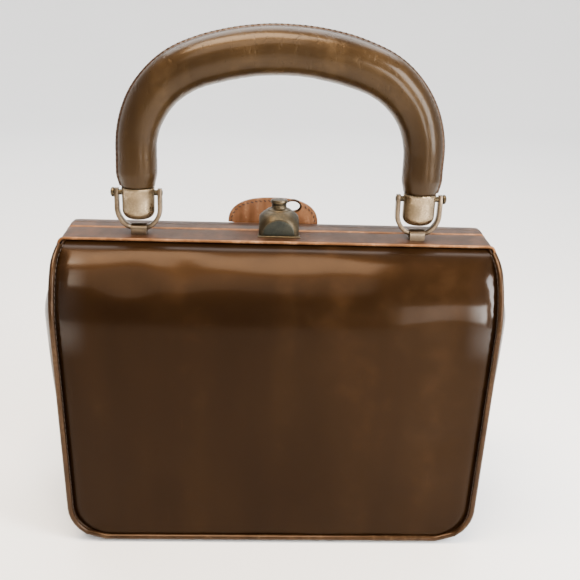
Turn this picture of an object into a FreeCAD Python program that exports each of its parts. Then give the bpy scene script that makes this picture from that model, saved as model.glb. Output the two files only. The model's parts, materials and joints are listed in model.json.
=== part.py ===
import FreeCAD, Part
import math
import os

# Doctor bag with a hinged, self-closing frame: a soft lower shell, two leather-covered
# frame halves that open about a pair of pivots in the gussets, a swinging round handle
# and a spring clasp. Millimetres, +Z up, front towards -Y, origin at the bottom centre.

V = FreeCAD.Vector

# Overall shape
BODY_HEIGHT = 178.0        # base to the front edge of the closed rails
TOP_WIDTH = 250.0
BASE_WIDTH = 240.0
BODY_DEPTH = 100.0
CORNER_RADIUS = 20.0       # lower corners of the front outline
LEATHER = 1.2              # panels and gussets
FOOT_HEIGHT = 3.0
FOOT_RADIUS = 5.0
FOOT_INSET = 25.0          # from the body's edges to each foot's centre
PIPING_OUT = 1.5           # how far the piping stands proud
PIPING_BAND = 3.5
BOARD_THICKNESS = 2.0
LINING = 0.8
LINING_TOP = 93.0          # above the base, below the shoulders' sweep
POCKET_WIDTH = 130.0
POCKET_HEIGHT = 60.0
POCKET_THICKNESS = 1.0

# Opening frame
PIVOT_DROP = 45.0          # rails' front edge down to the pivots
SHOULDER_THICKNESS = 1.6
SHOULDER_GAP = 0.4         # shoulder to the panel it slides inside
SHOULDER_LAP = 5.0         # how far the shoulder reaches below the pivots
PANEL_LAP = 6.0            # how far the panels reach above them
OPEN_ANGLE = 45.0
RAIL_DEPTH = 22.0
RAIL_THICKNESS = 5.0
RAIL_CROWN = 1.0           # rail's top above its front edge
RAIL_INSET = 3.0           # rail's ends to the body's top width
RAIL_END_RADIUS = 4.0
SPLIT_GAP = 0.4            # half the gap between the two rails
FLANGE = 1.6               # shoulder leather turned in under the rail
SIDE_GAP = 0.5             # shoulders and wings to the gussets
WING = 1.4
BOW_THICKNESS = 2.0        # steel strip of the frame
BOW_WIDTH = 9.0
EYE_RADIUS = 5.0
EYE_GAP = 0.2
PIVOT_RADIUS = 1.5
SHAFT_CLEARANCE = 0.05
PIVOT_HEAD_RADIUS = 3.2
PIVOT_HEAD = 1.2
PLATE_THICKNESS = 1.0
PLATE_HALF = 8.0
PLEAT_DEPTH = 10.0
PLEAT_HALF = 3.0
PLEAT_SKIN = 0.8

# Handle and bails
HANDLE_X = 81.0
HANDLE_Y = -11.0
PIN_HEIGHT = 25.5          # all handle heights are above the rails' front edge
FERRULE_BOTTOM = 10.5
FERRULE_TOP = 28.8
FERRULE_RADIUS = 9.25
FERRULE_WALL = 1.2
FERRULE_ROUND = 4.5
FERRULE_FLOOR = 4.0
GRIP_RADIUS = 12.0
CORE_RADIUS = 4.0
LEG_TOP = 50.0
SHOULDER_BEND = 50.0       # radius of the grip's corner arcs
HANDLE_APEX = 105.5
PIN_RADIUS = 1.6
PIN_HEAD_RADIUS = 2.8
PIN_HEAD = 1.8
PIN_END = 0.5
BAIL_GAP = 1.75            # ferrule to the bail's inside
BAIL_STRAP = 2.5
BAIL_DEPTH = 5.0
BAR_RADIUS = 2.0
LOOP_WALL = 1.3
LOOP_HALF = 4.4
BAR_HALF = 5.2

# Clasp
CLASP_Y = -1.5
CLASP_HALF = 11.5
CLASP_WALL = 1.5
DOME_RADIUS = 15.0
DOME_HEIGHT = 13.2
PLATE_MARGIN = 1.0
CLASP_PLATE = 1.0
COLLAR_HEIGHT = 2.0
COLLAR_TOP_RADIUS = 4.6
STEM_RADIUS = 3.5
STEM_LENGTH = 9.8
CAP_RADIUS = 4.8
CAP_HEIGHT = 1.7
CAP_ROUND = 0.6
BUTTON_TRAVEL = 2.3
FLOOR_THICKNESS = 1.0
FLOOR_REACH = 4.4          # clasp floor and bolt reach back to this y
BOLT_GAP = 0.3
BOLT_THICKNESS = 2.0
BOLT_HALF = 6.0
BOLT_BACK = -6.5
SLOT_HALF = 2.1
TOOTH_GAP = 0.4
CATCH_THICKNESS = 1.6
CATCH_HALF = 4.0
NOSE_HEIGHT = 1.4
NOSE_REACH = 1.6
SPRING_RADIUS = 1.5
SPRING_WIRE = 0.25
SPRING_TURNS = 6
LATCH_SPRING_RADIUS = 1.0
LATCH_SPRING_TURNS = 5

# Rear pull tab
TAB_CENTRE = -3.0
TAB_HALF = 28.0
TAB_HEIGHT = 17.0
TAB_THICKNESS = 2.4
TAB_GAP = 0.9
TAB_PIN_RADIUS = 1.2
TAB_HINGE_HALF = 20.0
TAB_DROP = 2.2             # hinge axis below the rail's top
TAB_KNUCKLE = 0.6          # knuckle wall round the tab's thickness
TAB_HOLE_X = 9.0
TAB_HOLE_HALF = 4.3
TAB_HOLE_HEIGHT = 12.0
TAB_HOLE_RADIUS = 2.9

# Places worked out from the sizes
BASE_Z = FOOT_HEIGHT
RAIL_Z = BASE_Z + BODY_HEIGHT
RAIL_TOP = RAIL_Z + RAIL_CROWN
RAIL_BOTTOM = RAIL_TOP - RAIL_THICKNESS
RAIL_HALF = TOP_WIDTH / 2 - RAIL_INSET
PIVOT_Z = RAIL_Z - PIVOT_DROP
PANEL_TOP = PIVOT_Z + PANEL_LAP
HALF_DEPTH = BODY_DEPTH / 2
INNER_DEPTH = HALF_DEPTH - LEATHER
SHOULDER_RADIUS = INNER_DEPTH - SHOULDER_GAP
SHOULDER_INNER = SHOULDER_RADIUS - SHOULDER_THICKNESS


def half_width(z):
    """Half of the body's width at a height; the sides taper towards the base."""
    return (BASE_WIDTH + (TOP_WIDTH - BASE_WIDTH) * (z - BASE_Z) / BODY_HEIGHT) / 2


SWEEP = SHOULDER_RADIUS * math.sin(math.radians(OPEN_ANGLE) + math.asin(SHOULDER_LAP / SHOULDER_RADIUS))
SHOULDER_HALF = half_width(PIVOT_Z - SWEEP) - LEATHER - SIDE_GAP
BOW_HALF = SHOULDER_HALF - WING
BAR_Z = RAIL_TOP + BAR_RADIUS + LOOP_WALL
BAIL_OUTER = FERRULE_RADIUS + BAIL_GAP + BAIL_STRAP
BAIL_CENTRE_Z = BAR_Z + math.sqrt((BAIL_OUTER - BAIL_STRAP / 2) ** 2 - BAR_HALF ** 2)
PIN_Z = RAIL_Z + PIN_HEIGHT
CLASP_Z = RAIL_TOP + CLASP_PLATE
BOLT_Z = CLASP_Z + FLOOR_THICKNESS + BOLT_GAP
DOME_TOP = CLASP_Z + DOME_HEIGHT


def block(x0, x1, y0, y1, z0, z1):
    """A box from its two corners."""
    return Part.makeBox(x1 - x0, y1 - y0, z1 - z0, V(x0, y0, z0))


def rod(radius, start, end):
    """A cylinder from one point to another."""
    line = end - start
    return Part.makeCylinder(radius, line.Length, start, line)


def prism(points, direction):
    """A closed polygon pushed along a direction."""
    wire = Part.makePolygon([V(*point) for point in points + points[:1]])
    return Part.Face(wire).extrude(direction)


def mirror_x(shape):
    """The same piece on the other side of the bag."""
    return shape.mirror(V(0, 0, 0), V(1, 0, 0))


def mirror_y(shape):
    """The same piece on the back of the bag."""
    return shape.mirror(V(0, 0, 0), V(0, 1, 0))


def body_prism(inset, y0, y1, top):
    """The front outline, drawn in by an inset and pushed from y0 to y1."""
    low = BASE_Z + inset
    foot = half_width(low) - inset
    head = half_width(top) - inset
    outline = [(-foot, y0, low), (foot, y0, low), (head, y0, top), (-head, y0, top)]
    solid = prism(outline, V(0, y1 - y0, 0))
    corners = []
    for edge in solid.Edges:
        ends = [vertex.Point for vertex in edge.Vertexes]
        if all(abs(end.z - low) < 0.01 for end in ends) and abs(ends[0].x - ends[1].x) < 0.01:
            corners.append(edge)
    return solid.makeFillet(CORNER_RADIUS - inset, corners)


def save(name, shape):
    """Write one sub-part."""
    assert shape.isValid(), name
    shape.exportStep("parts/" + name + ".step")


# ---------------------------------------------------------------- lower shell

def make_shell():
    """Panels, gussets, base, lining and pivots of the part that stands still."""
    front = body_prism(0, -HALF_DEPTH, -INNER_DEPTH, PANEL_TOP)
    save("front_panel", front)
    save("back_panel", mirror_y(front))

    ring = body_prism(0, -INNER_DEPTH, INNER_DEPTH, PANEL_TOP)
    ring = ring.cut(body_prism(LEATHER, -HALF_DEPTH, HALF_DEPTH, PANEL_TOP + 1))
    flat_half = BASE_WIDTH / 2 - CORNER_RADIUS
    middle = block(-flat_half, flat_half, -HALF_DEPTH, HALF_DEPTH, 0, CORNER_RADIUS)
    save("base_panel", ring.common(middle))
    right = block(flat_half, TOP_WIDTH, -HALF_DEPTH, HALF_DEPTH, 0, RAIL_Z)
    gusset = ring.common(right)
    save("right_gusset", gusset)
    save("left_gusset", mirror_x(gusset))

    band = body_prism(-PIPING_OUT, -HALF_DEPTH - PIPING_OUT, -HALF_DEPTH, PANEL_TOP)
    inner = body_prism(PIPING_BAND - PIPING_OUT, -BODY_DEPTH, 0, PANEL_TOP + 1)
    piping = band.cut(inner)
    save("front_piping", piping)
    save("back_piping", mirror_y(piping))

    floor = BASE_Z + LEATHER
    board = block(-flat_half, flat_half, -INNER_DEPTH, INNER_DEPTH, floor, floor + BOARD_THICKNESS)
    save("base_board", board)
    inset = LEATHER + BOARD_THICKNESS
    depth = INNER_DEPTH - 0.2
    lining_top = BASE_Z + LINING_TOP
    lining = body_prism(inset, -depth, depth, lining_top)
    hollow = body_prism(inset + LINING, -depth + LINING, depth - LINING, lining_top + 1)
    save("lining", lining.cut(hollow))
    back = depth - LINING
    pocket_top = lining_top - 5
    pocket = block(-POCKET_WIDTH / 2, POCKET_WIDTH / 2, back - POCKET_THICKNESS, back,
                   pocket_top - POCKET_HEIGHT, pocket_top)
    save("inner_pocket", pocket)

    feet = []
    for x in (-1, 1):
        for y in (-1, 1):
            place = V(x * (BASE_WIDTH / 2 - FOOT_INSET), y * (HALF_DEPTH - FOOT_INSET / 2), 0)
            stud = Part.makeCylinder(FOOT_RADIUS, FOOT_HEIGHT, place)
            low = [edge for edge in stud.Edges if edge.BoundBox.ZMax < 0.01]
            feet.append(stud.makeFillet(FOOT_HEIGHT / 3, low))
    save("base_feet", Part.makeCompound(feet))

    plate_low = PIVOT_Z - PLATE_HALF
    plate_inner = SHOULDER_HALF + EYE_GAP
    plate = block(plate_inner, TOP_WIDTH, -PLATE_HALF, PLATE_HALF, plate_low, PANEL_TOP)
    plate = plate.common(body_prism(LEATHER, -INNER_DEPTH, INNER_DEPTH, PANEL_TOP))
    centre = V(0, 0, PIVOT_Z)
    shaft = rod(PIVOT_RADIUS, V(BOW_HALF - BOW_THICKNESS - EYE_GAP, 0, PIVOT_Z), V(TOP_WIDTH, 0, PIVOT_Z))
    shaft = shaft.common(body_prism(LEATHER, -INNER_DEPTH, INNER_DEPTH, PANEL_TOP))
    head_x = BOW_HALF - BOW_THICKNESS - EYE_GAP
    head = rod(PIVOT_HEAD_RADIUS, centre + V(head_x - PIVOT_HEAD, 0, 0), centre + V(head_x, 0, 0))
    pin = shaft.fuse(head)
    plate = plate.cut(shaft)
    save("right_pivot_plate", plate)
    save("left_pivot_plate", mirror_x(plate))
    save("right_pivot_pin", pin)
    save("left_pivot_pin", mirror_x(pin))

    fold_out = BOW_HALF - BOW_THICKNESS - EYE_GAP
    fold_low = PIVOT_Z + EYE_RADIUS + 3
    fold = [(fold_out, -PLEAT_HALF, fold_low), (fold_out, -PLEAT_HALF + PLEAT_SKIN, fold_low),
            (fold_out - PLEAT_DEPTH + PLEAT_SKIN * 2, 0, fold_low),
            (fold_out, PLEAT_HALF - PLEAT_SKIN, fold_low), (fold_out, PLEAT_HALF, fold_low),
            (fold_out - PLEAT_DEPTH, 0, fold_low)]
    pleat = prism(fold, V(0, 0, RAIL_BOTTOM - FLANGE - 2 - fold_low))
    save("right_pleat", pleat)
    save("left_pleat", mirror_x(pleat))


# ---------------------------------------------------------------- frame halves

def make_bow(own_layer, other_layer):
    """The steel strip of the front frame half: a rail and two half-lapped legs."""
    core_low = RAIL_BOTTOM + (RAIL_THICKNESS - BOW_THICKNESS) / 2
    bow = block(-BOW_HALF, BOW_HALF, -RAIL_DEPTH + 2, -SPLIT_GAP - 1.6, core_low, core_low + BOW_THICKNESS)
    for side in (-1, 1):
        layer = BOW_THICKNESS / 2
        x_out = side * BOW_HALF
        x_mid = side * (BOW_HALF - layer)
        x_in = side * (BOW_HALF - BOW_THICKNESS)
        leg = block(min(x_in, x_out), max(x_in, x_out), -SPLIT_GAP - BOW_WIDTH, -SPLIT_GAP,
                    PIVOT_Z, core_low + BOW_THICKNESS)
        gap = EYE_GAP / 2
        layers = {"outer": (x_mid + side * gap, x_out), "inner": (x_in, x_mid - side * gap)}
        own = layers[own_layer]
        other = layers[other_layer]
        relief = rod(EYE_RADIUS + 2 * EYE_GAP, V(x_in - side, 0, PIVOT_Z), V(x_out + side, 0, PIVOT_Z))
        leg = leg.cut(relief)
        eye = rod(EYE_RADIUS, V(own[0], 0, PIVOT_Z), V(own[1], 0, PIVOT_Z))
        neck = block(min(own), max(own), -SPLIT_GAP - BOW_WIDTH, -SPLIT_GAP, PIVOT_Z, PIVOT_Z + BOW_WIDTH)
        neck = neck.cut(rod(EYE_RADIUS / 2, V(other[0] - 3, 0, PIVOT_Z), V(other[1] + 3, 0, PIVOT_Z)))
        bow = bow.fuse([leg, eye, neck])
        bore = rod(PIVOT_RADIUS + SHAFT_CLEARANCE, V(x_in - side, 0, PIVOT_Z), V(x_out + side, 0, PIVOT_Z))
        bow = bow.cut(bore)
    return bow.removeSplitter()


def make_shoulder():
    """The curved leather shoulder of the front half, turned in under its rail."""
    centre = V(-SHOULDER_HALF, 0, PIVOT_Z)
    outer = Part.makeCylinder(SHOULDER_RADIUS, 2 * SHOULDER_HALF, centre, V(1, 0, 0))
    inner = Part.makeCylinder(SHOULDER_INNER, 2 * SHOULDER_HALF + 2, centre - V(1, 0, 0), V(1, 0, 0))
    keep = block(-SHOULDER_HALF, SHOULDER_HALF, -BODY_DEPTH, -SPLIT_GAP, PIVOT_Z - SHOULDER_LAP, RAIL_BOTTOM)
    arc = outer.cut(inner).common(keep)
    flange = block(-SHOULDER_HALF, SHOULDER_HALF, -BODY_DEPTH, -SPLIT_GAP, RAIL_BOTTOM - FLANGE, RAIL_BOTTOM)
    return arc.fuse(flange.common(outer)).removeSplitter()


def make_cover():
    """The leather sleeve round the front rail."""
    cover = block(-RAIL_HALF, RAIL_HALF, -RAIL_DEPTH, -SPLIT_GAP, RAIL_BOTTOM, RAIL_TOP)
    ends = []
    for edge in cover.Edges:
        box = edge.BoundBox
        if box.YLength > RAIL_DEPTH / 2 and box.ZMin > RAIL_TOP - 0.01:
            ends.append(edge)
    return cover.makeFillet(RAIL_END_RADIUS, ends)


def make_wing():
    """The right gusset's upper quarter, carried by the front half."""
    x_in = SHOULDER_HALF - WING
    region = rod(SHOULDER_INNER, V(x_in, 0, PIVOT_Z), V(SHOULDER_HALF, 0, PIVOT_Z))
    keep = block(x_in, SHOULDER_HALF, -BODY_DEPTH, -SPLIT_GAP, PIVOT_Z - SHOULDER_LAP, RAIL_BOTTOM - FLANGE)
    eye = rod(EYE_RADIUS + 2 * EYE_GAP, V(x_in - 1, 0, PIVOT_Z), V(SHOULDER_HALF + 1, 0, PIVOT_Z))
    # Below the pivot the wing stays back far enough not to pass the bag's middle when it opens.
    turn = math.radians(OPEN_ANGLE)
    reach = (SHOULDER_LAP * math.sin(turn) + SPLIT_GAP) / math.cos(turn)
    heel = block(x_in, SHOULDER_HALF, -reach, 0, PIVOT_Z - SHOULDER_LAP, PIVOT_Z)
    return region.common(keep).cut(eye).cut(heel)


def make_frame_halves():
    """Both frame halves with their leather; the back one is the front one turned about."""
    for name, own, other in (("front", "outer", "inner"), ("back", "inner", "outer")):
        bow = make_bow(own, other)
        shoulder = make_shoulder().cut(bow)
        cover = make_cover().cut(bow)
        wing = make_wing()
        if name == "back":
            bow = mirror_y(bow)
            shoulder = mirror_y(shoulder)
            cover = mirror_y(cover)
            wing = mirror_y(wing)
        save(name + "_frame_bow", bow)
        save(name + "_shoulder", shoulder)
        save(name + "_rail_cover", cover)
        save(name + "_right_gusset_wing", wing)
        save(name + "_left_gusset_wing", mirror_x(wing))


# ---------------------------------------------------------------- handle

def make_bail(x):
    """A flat strap bent into a U, with a round bar at its foot."""
    y0 = HANDLE_Y - BAIL_DEPTH / 2
    y1 = HANDLE_Y + BAIL_DEPTH / 2
    inner = BAIL_OUTER - BAIL_STRAP
    outside = rod(BAIL_OUTER, V(x, y0, BAIL_CENTRE_Z), V(x, y1, BAIL_CENTRE_Z))
    inside = rod(inner, V(x, y0 - 1, BAIL_CENTRE_Z), V(x, y1 + 1, BAIL_CENTRE_Z))
    low = block(x - BAIL_OUTER, x + BAIL_OUTER, y0, y1, RAIL_Z - 10, BAIL_CENTRE_Z)
    strap = outside.cut(inside).common(low)
    strap = strap.cut(block(x - BAR_HALF, x + BAR_HALF, y0, y1, RAIL_Z - 10, BAIL_CENTRE_Z))
    bar = rod(BAR_RADIUS, V(x - BAR_HALF - 0.6, HANDLE_Y, BAR_Z), V(x + BAR_HALF + 0.6, HANDLE_Y, BAR_Z))
    pieces = [bar]
    for side in (-1, 1):
        near = x + side * inner
        far = x + side * BAIL_OUTER
        leg = block(min(near, far), max(near, far), y0, y1, BAIL_CENTRE_Z, PIN_Z)
        eye = rod(BAIL_DEPTH / 2, V(near, HANDLE_Y, PIN_Z), V(far, HANDLE_Y, PIN_Z))
        pieces += [leg, eye]
    bail = strap.fuse(pieces)
    reach = BAIL_OUTER + 1
    bore = rod(PIN_RADIUS + SHAFT_CLEARANCE, V(x - reach, HANDLE_Y, PIN_Z), V(x + reach, HANDLE_Y, PIN_Z))
    return bail.cut(bore).removeSplitter()


def make_bail_loop(x):
    """The staple on the rail that the bail's bar turns in."""
    radius = BAR_RADIUS + LOOP_WALL
    barrel = rod(radius, V(x - LOOP_HALF, HANDLE_Y, BAR_Z), V(x + LOOP_HALF, HANDLE_Y, BAR_Z))
    seat = block(x - LOOP_HALF, x + LOOP_HALF, HANDLE_Y - radius, HANDLE_Y + radius, RAIL_TOP, BAR_Z)
    bore = rod(BAR_RADIUS + SHAFT_CLEARANCE, V(x - LOOP_HALF - 1, HANDLE_Y, BAR_Z),
               V(x + LOOP_HALF + 1, HANDLE_Y, BAR_Z))
    return barrel.fuse(seat).cut(bore).removeSplitter()


def grip_path(foot):
    """The handle's centre line: straight legs, two corner arcs and one long top arc."""
    rise = HANDLE_APEX - LEG_TOP
    corner_x = HANDLE_X - SHOULDER_BEND
    top_radius = (corner_x ** 2 + rise ** 2 - SHOULDER_BEND ** 2) / (2 * (rise - SHOULDER_BEND))
    shoulder_z = RAIL_Z + LEG_TOP
    apex = V(0, HANDLE_Y, RAIL_Z + HANDLE_APEX)
    top_centre = apex - V(0, 0, top_radius)
    right_centre = V(corner_x, HANDLE_Y, shoulder_z)
    radial = (right_centre - top_centre).normalize()
    join = top_centre + radial * top_radius
    bisector = (radial + V(1, 0, 0)).normalize()
    bend = right_centre + bisector * SHOULDER_BEND

    def left(point):
        return V(-point.x, point.y, point.z)

    knee = V(HANDLE_X, HANDLE_Y, shoulder_z)
    start = V(HANDLE_X, HANDLE_Y, foot)
    edges = [
        Part.LineSegment(left(start), left(knee)).toShape(),
        Part.Arc(left(knee), left(bend), left(join)).toShape(),
        Part.Arc(left(join), apex, join).toShape(),
        Part.Arc(join, bend, knee).toShape(),
        Part.LineSegment(knee, start).toShape(),
    ]
    return Part.Wire(edges)


def tube(radius, foot):
    """A round bar along the handle's centre line."""
    ring = Part.Wire(Part.makeCircle(radius, V(-HANDLE_X, HANDLE_Y, foot), V(0, 0, 1)))
    return grip_path(foot).makePipeShell([ring], True, False)


def make_handle():
    """Grip, core, ferrules and the pins that hang them in the bails."""
    top = RAIL_Z + FERRULE_TOP
    floor = RAIL_Z + FERRULE_BOTTOM + FERRULE_FLOOR
    core = tube(CORE_RADIUS, floor)
    grip = tube(GRIP_RADIUS, top)
    reach = BAIL_OUTER + PIN_END
    ferrules = []
    pins = []
    for side in (-1, 1):
        x = side * HANDLE_X
        spigot = Part.makeCylinder(FERRULE_RADIUS - FERRULE_WALL, top - floor, V(x, HANDLE_Y, floor))
        grip = grip.fuse(spigot)
        cup = Part.makeCylinder(FERRULE_RADIUS, FERRULE_TOP - FERRULE_BOTTOM,
                                V(x, HANDLE_Y, RAIL_Z + FERRULE_BOTTOM))
        foot = [edge for edge in cup.Edges if edge.BoundBox.ZMax < RAIL_Z + FERRULE_BOTTOM + 0.01]
        ferrules.append(cup.makeFillet(FERRULE_ROUND, foot).cut(spigot))
        shaft = rod(PIN_RADIUS, V(x - reach, HANDLE_Y, PIN_Z), V(x + reach, HANDLE_Y, PIN_Z))
        head_x = x + side * reach
        cap = rod(PIN_HEAD_RADIUS, V(head_x, HANDLE_Y, PIN_Z), V(head_x + side * PIN_HEAD, HANDLE_Y, PIN_Z))
        far = [edge for edge in cap.Edges
               if abs(edge.BoundBox.Center.x - head_x - side * PIN_HEAD) < 0.01 and edge.Length > 2]
        pins.append((shaft, shaft.fuse(cap.makeFillet(PIN_HEAD * 0.7, far))))
    grip = grip.cut(core)
    for shaft, pin in pins:
        grip = grip.cut(shaft)
        core = core.cut(shaft)
        ferrules = [ferrule.cut(shaft) for ferrule in ferrules]
    save("handle_grip", grip)
    save("handle_core", core)
    for index, name in enumerate(("left", "right")):
        x = (-1 + 2 * index) * HANDLE_X
        save(name + "_ferrule", ferrules[index])
        save(name + "_handle_pin", pins[index][1])
        save(name + "_bail", make_bail(x))
        save(name + "_bail_loop", make_bail_loop(x))


# ---------------------------------------------------------------- clasp

def coil(radius, height, turns, place, axis):
    """A spring wound from round wire."""
    pitch = height / turns
    helix = Part.makeHelix(pitch, height, radius)
    ring = Part.Wire(Part.makeCircle(SPRING_WIRE, V(radius, 0, 0), V(0, 1, 0)))
    spring = Part.Wire(helix.Edges).makePipeShell([ring], True, True)
    spring.Placement = FreeCAD.Placement(place, FreeCAD.Rotation(V(0, 0, 1), axis))
    return spring


def make_clasp():
    """Plate, domed housing, collar, button, sliding bolt, springs and the rear catch."""
    y0 = CLASP_Y - CLASP_HALF
    y1 = CLASP_Y + CLASP_HALF
    plate = block(-CLASP_HALF - PLATE_MARGIN, CLASP_HALF + PLATE_MARGIN, y0 - PLATE_MARGIN, -SPLIT_GAP,
                  RAIL_TOP, CLASP_Z)
    save("clasp_plate", plate)

    dome = Part.makeSphere(DOME_RADIUS, V(0, CLASP_Y, CLASP_Z))
    dome = dome.common(block(-CLASP_HALF, CLASP_HALF, y0, y1, CLASP_Z, DOME_TOP))
    wall = CLASP_WALL
    hollow = Part.makeSphere(DOME_RADIUS - wall, V(0, CLASP_Y, CLASP_Z))
    room = block(-CLASP_HALF + wall, CLASP_HALF - wall, y0 + wall, y1 - wall, CLASP_Z - 1, DOME_TOP - wall)
    housing = dome.cut(hollow.common(room))
    floor = block(-CLASP_HALF + wall, CLASP_HALF - wall, y0 + wall, FLOOR_REACH, CLASP_Z,
                  CLASP_Z + FLOOR_THICKNESS)
    housing = housing.fuse(floor.common(hollow))
    middle = V(0, CLASP_Y, 0)
    bore = rod(STEM_RADIUS + SHAFT_CLEARANCE, middle + V(0, 0, CLASP_Z + 6), middle + V(0, 0, DOME_TOP + 5))
    catch_top = BOLT_Z + BOLT_THICKNESS + TOOTH_GAP + NOSE_HEIGHT
    rear = block(-CATCH_HALF - 1, CATCH_HALF + 1, FLOOR_REACH + 2, y1 + 1, CLASP_Z - 1, catch_top + 3)
    housing = housing.cut(bore).cut(rear)
    save("clasp_housing", housing.removeSplitter())

    foot_radius = math.sqrt(DOME_RADIUS ** 2 - DOME_HEIGHT ** 2)
    collar = Part.makeCone(foot_radius, COLLAR_TOP_RADIUS, COLLAR_HEIGHT, middle + V(0, 0, DOME_TOP))
    save("clasp_collar", collar.cut(bore))

    cap_low = DOME_TOP + COLLAR_HEIGHT + BUTTON_TRAVEL + 0.2
    cap = Part.makeCylinder(CAP_RADIUS, CAP_HEIGHT, middle + V(0, 0, cap_low))
    rim = [edge for edge in cap.Edges if edge.BoundBox.ZMin > cap_low + CAP_HEIGHT - 0.01]
    cap = cap.makeFillet(CAP_ROUND, rim)
    stem_low = cap_low - STEM_LENGTH
    stem = rod(STEM_RADIUS, middle + V(0, 0, stem_low), middle + V(0, 0, cap_low))
    save("push_button", stem.fuse(cap).removeSplitter())

    bolt = block(-BOLT_HALF, BOLT_HALF, BOLT_BACK, FLOOR_REACH, BOLT_Z, BOLT_Z + BOLT_THICKNESS)
    slot = block(-SLOT_HALF, SLOT_HALF, CLASP_Y - SLOT_HALF, CLASP_Y + SLOT_HALF + BUTTON_TRAVEL,
                 BOLT_Z - 1, BOLT_Z + BOLT_THICKNESS + 1)
    save("latch_bolt", bolt.cut(slot))

    spring_low = CLASP_Z + FLOOR_THICKNESS + SPRING_WIRE
    spring_height = stem_low - SPRING_WIRE - spring_low
    save("button_spring", coil(SPRING_RADIUS, spring_height, SPRING_TURNS,
                               V(0, CLASP_Y, spring_low), V(0, 0, 1)))
    latch_start = y0 + wall + SPRING_WIRE
    latch_length = BOLT_BACK - SPRING_WIRE - latch_start
    save("latch_spring", coil(LATCH_SPRING_RADIUS, latch_length, LATCH_SPRING_TURNS,
                              V(0, latch_start, BOLT_Z + BOLT_THICKNESS / 2), V(0, 1, 0)))

    catch_y = FLOOR_REACH + TOOTH_GAP
    back_y = catch_y + CATCH_THICKNESS
    upright = block(-CATCH_HALF, CATCH_HALF, catch_y, back_y, RAIL_TOP, catch_top)
    nose = block(-CATCH_HALF, CATCH_HALF, catch_y - NOSE_REACH, catch_y, catch_top - NOSE_HEIGHT, catch_top)
    foot = block(-CATCH_HALF, CATCH_HALF, catch_y, back_y + 2, RAIL_TOP, RAIL_TOP + CLASP_PLATE - TOOTH_GAP)
    save("catch_hook", upright.fuse([nose, foot]).removeSplitter())


# ---------------------------------------------------------------- rear tab

def make_tab():
    """The stitched leather tab hinged behind the back rail, with its pin and knuckles."""
    y0 = RAIL_DEPTH + TAB_GAP
    y1 = y0 + TAB_THICKNESS
    mid_y = (y0 + y1) / 2
    axis_z = RAIL_TOP - TAB_DROP
    low = V(TAB_CENTRE - TAB_HALF, y0, axis_z + TAB_DROP + TAB_KNUCKLE)
    high = V(TAB_CENTRE + TAB_HALF, y0, low.z)
    top = V(TAB_CENTRE, y0, RAIL_Z + TAB_HEIGHT)
    arch = Part.Wire([Part.Arc(low, top, high).toShape(), Part.LineSegment(high, low).toShape()])
    leaf = Part.Face(arch).extrude(V(0, TAB_THICKNESS, 0))
    root_half = TAB_HINGE_HALF / 3
    root = block(TAB_CENTRE - root_half, TAB_CENTRE + root_half, y0, y1, axis_z, low.z + 1)
    wrap = rod(TAB_THICKNESS / 2 + TAB_KNUCKLE, V(TAB_CENTRE - root_half, mid_y, axis_z),
               V(TAB_CENTRE + root_half, mid_y, axis_z))
    hole_z = RAIL_Z + TAB_HOLE_HEIGHT
    slot = Part.makeBox(2 * (TAB_HOLE_HALF - TAB_HOLE_RADIUS), 9, 2 * TAB_HOLE_RADIUS,
                        V(TAB_HOLE_X - TAB_HOLE_HALF + TAB_HOLE_RADIUS, y0 - 3, hole_z - TAB_HOLE_RADIUS))
    for side in (-1, 1):
        x = TAB_HOLE_X + side * (TAB_HOLE_HALF - TAB_HOLE_RADIUS)
        slot = slot.fuse(rod(TAB_HOLE_RADIUS, V(x, y0 - 3, hole_z), V(x, y0 + 6, hole_z)))
    pin_reach = TAB_HINGE_HALF
    hinge = rod(TAB_PIN_RADIUS, V(TAB_CENTRE - pin_reach, mid_y, axis_z), V(TAB_CENTRE + pin_reach, mid_y, axis_z))
    bore = rod(TAB_PIN_RADIUS + SHAFT_CLEARANCE, V(TAB_CENTRE - pin_reach, mid_y, axis_z),
               V(TAB_CENTRE + pin_reach, mid_y, axis_z))
    tab = leaf.fuse([root, wrap]).cut(slot).cut(bore).removeSplitter()
    save("pull_tab", tab)
    save("tab_hinge_pin", hinge)

    knuckles = []
    for side in (-1, 1):
        near = TAB_CENTRE + side * (root_half + TAB_GAP)
        far = TAB_CENTRE + side * TAB_HINGE_HALF
        barrel = rod(TAB_THICKNESS / 2 + TAB_KNUCKLE, V(near, mid_y, axis_z), V(far, mid_y, axis_z))
        foot = block(min(near, far), max(near, far), RAIL_DEPTH, mid_y, axis_z - 1, axis_z + 1)
        knuckles.append(barrel.fuse(foot).cut(hinge))
    save("tab_knuckles", Part.makeCompound(knuckles))


os.makedirs("parts", exist_ok=True)
make_shell()
make_frame_halves()
make_handle()
make_clasp()
make_tab()
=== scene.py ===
"""Doctor bag: the soft, stitched and polished pieces that dress the hinged frame."""
import json
import logging
import math
from dataclasses import dataclass, field
from enum import Enum
from typing import Any, Callable, Sequence, Union

import bmesh
import bpy
from mathutils import Matrix, Vector, noise


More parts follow.
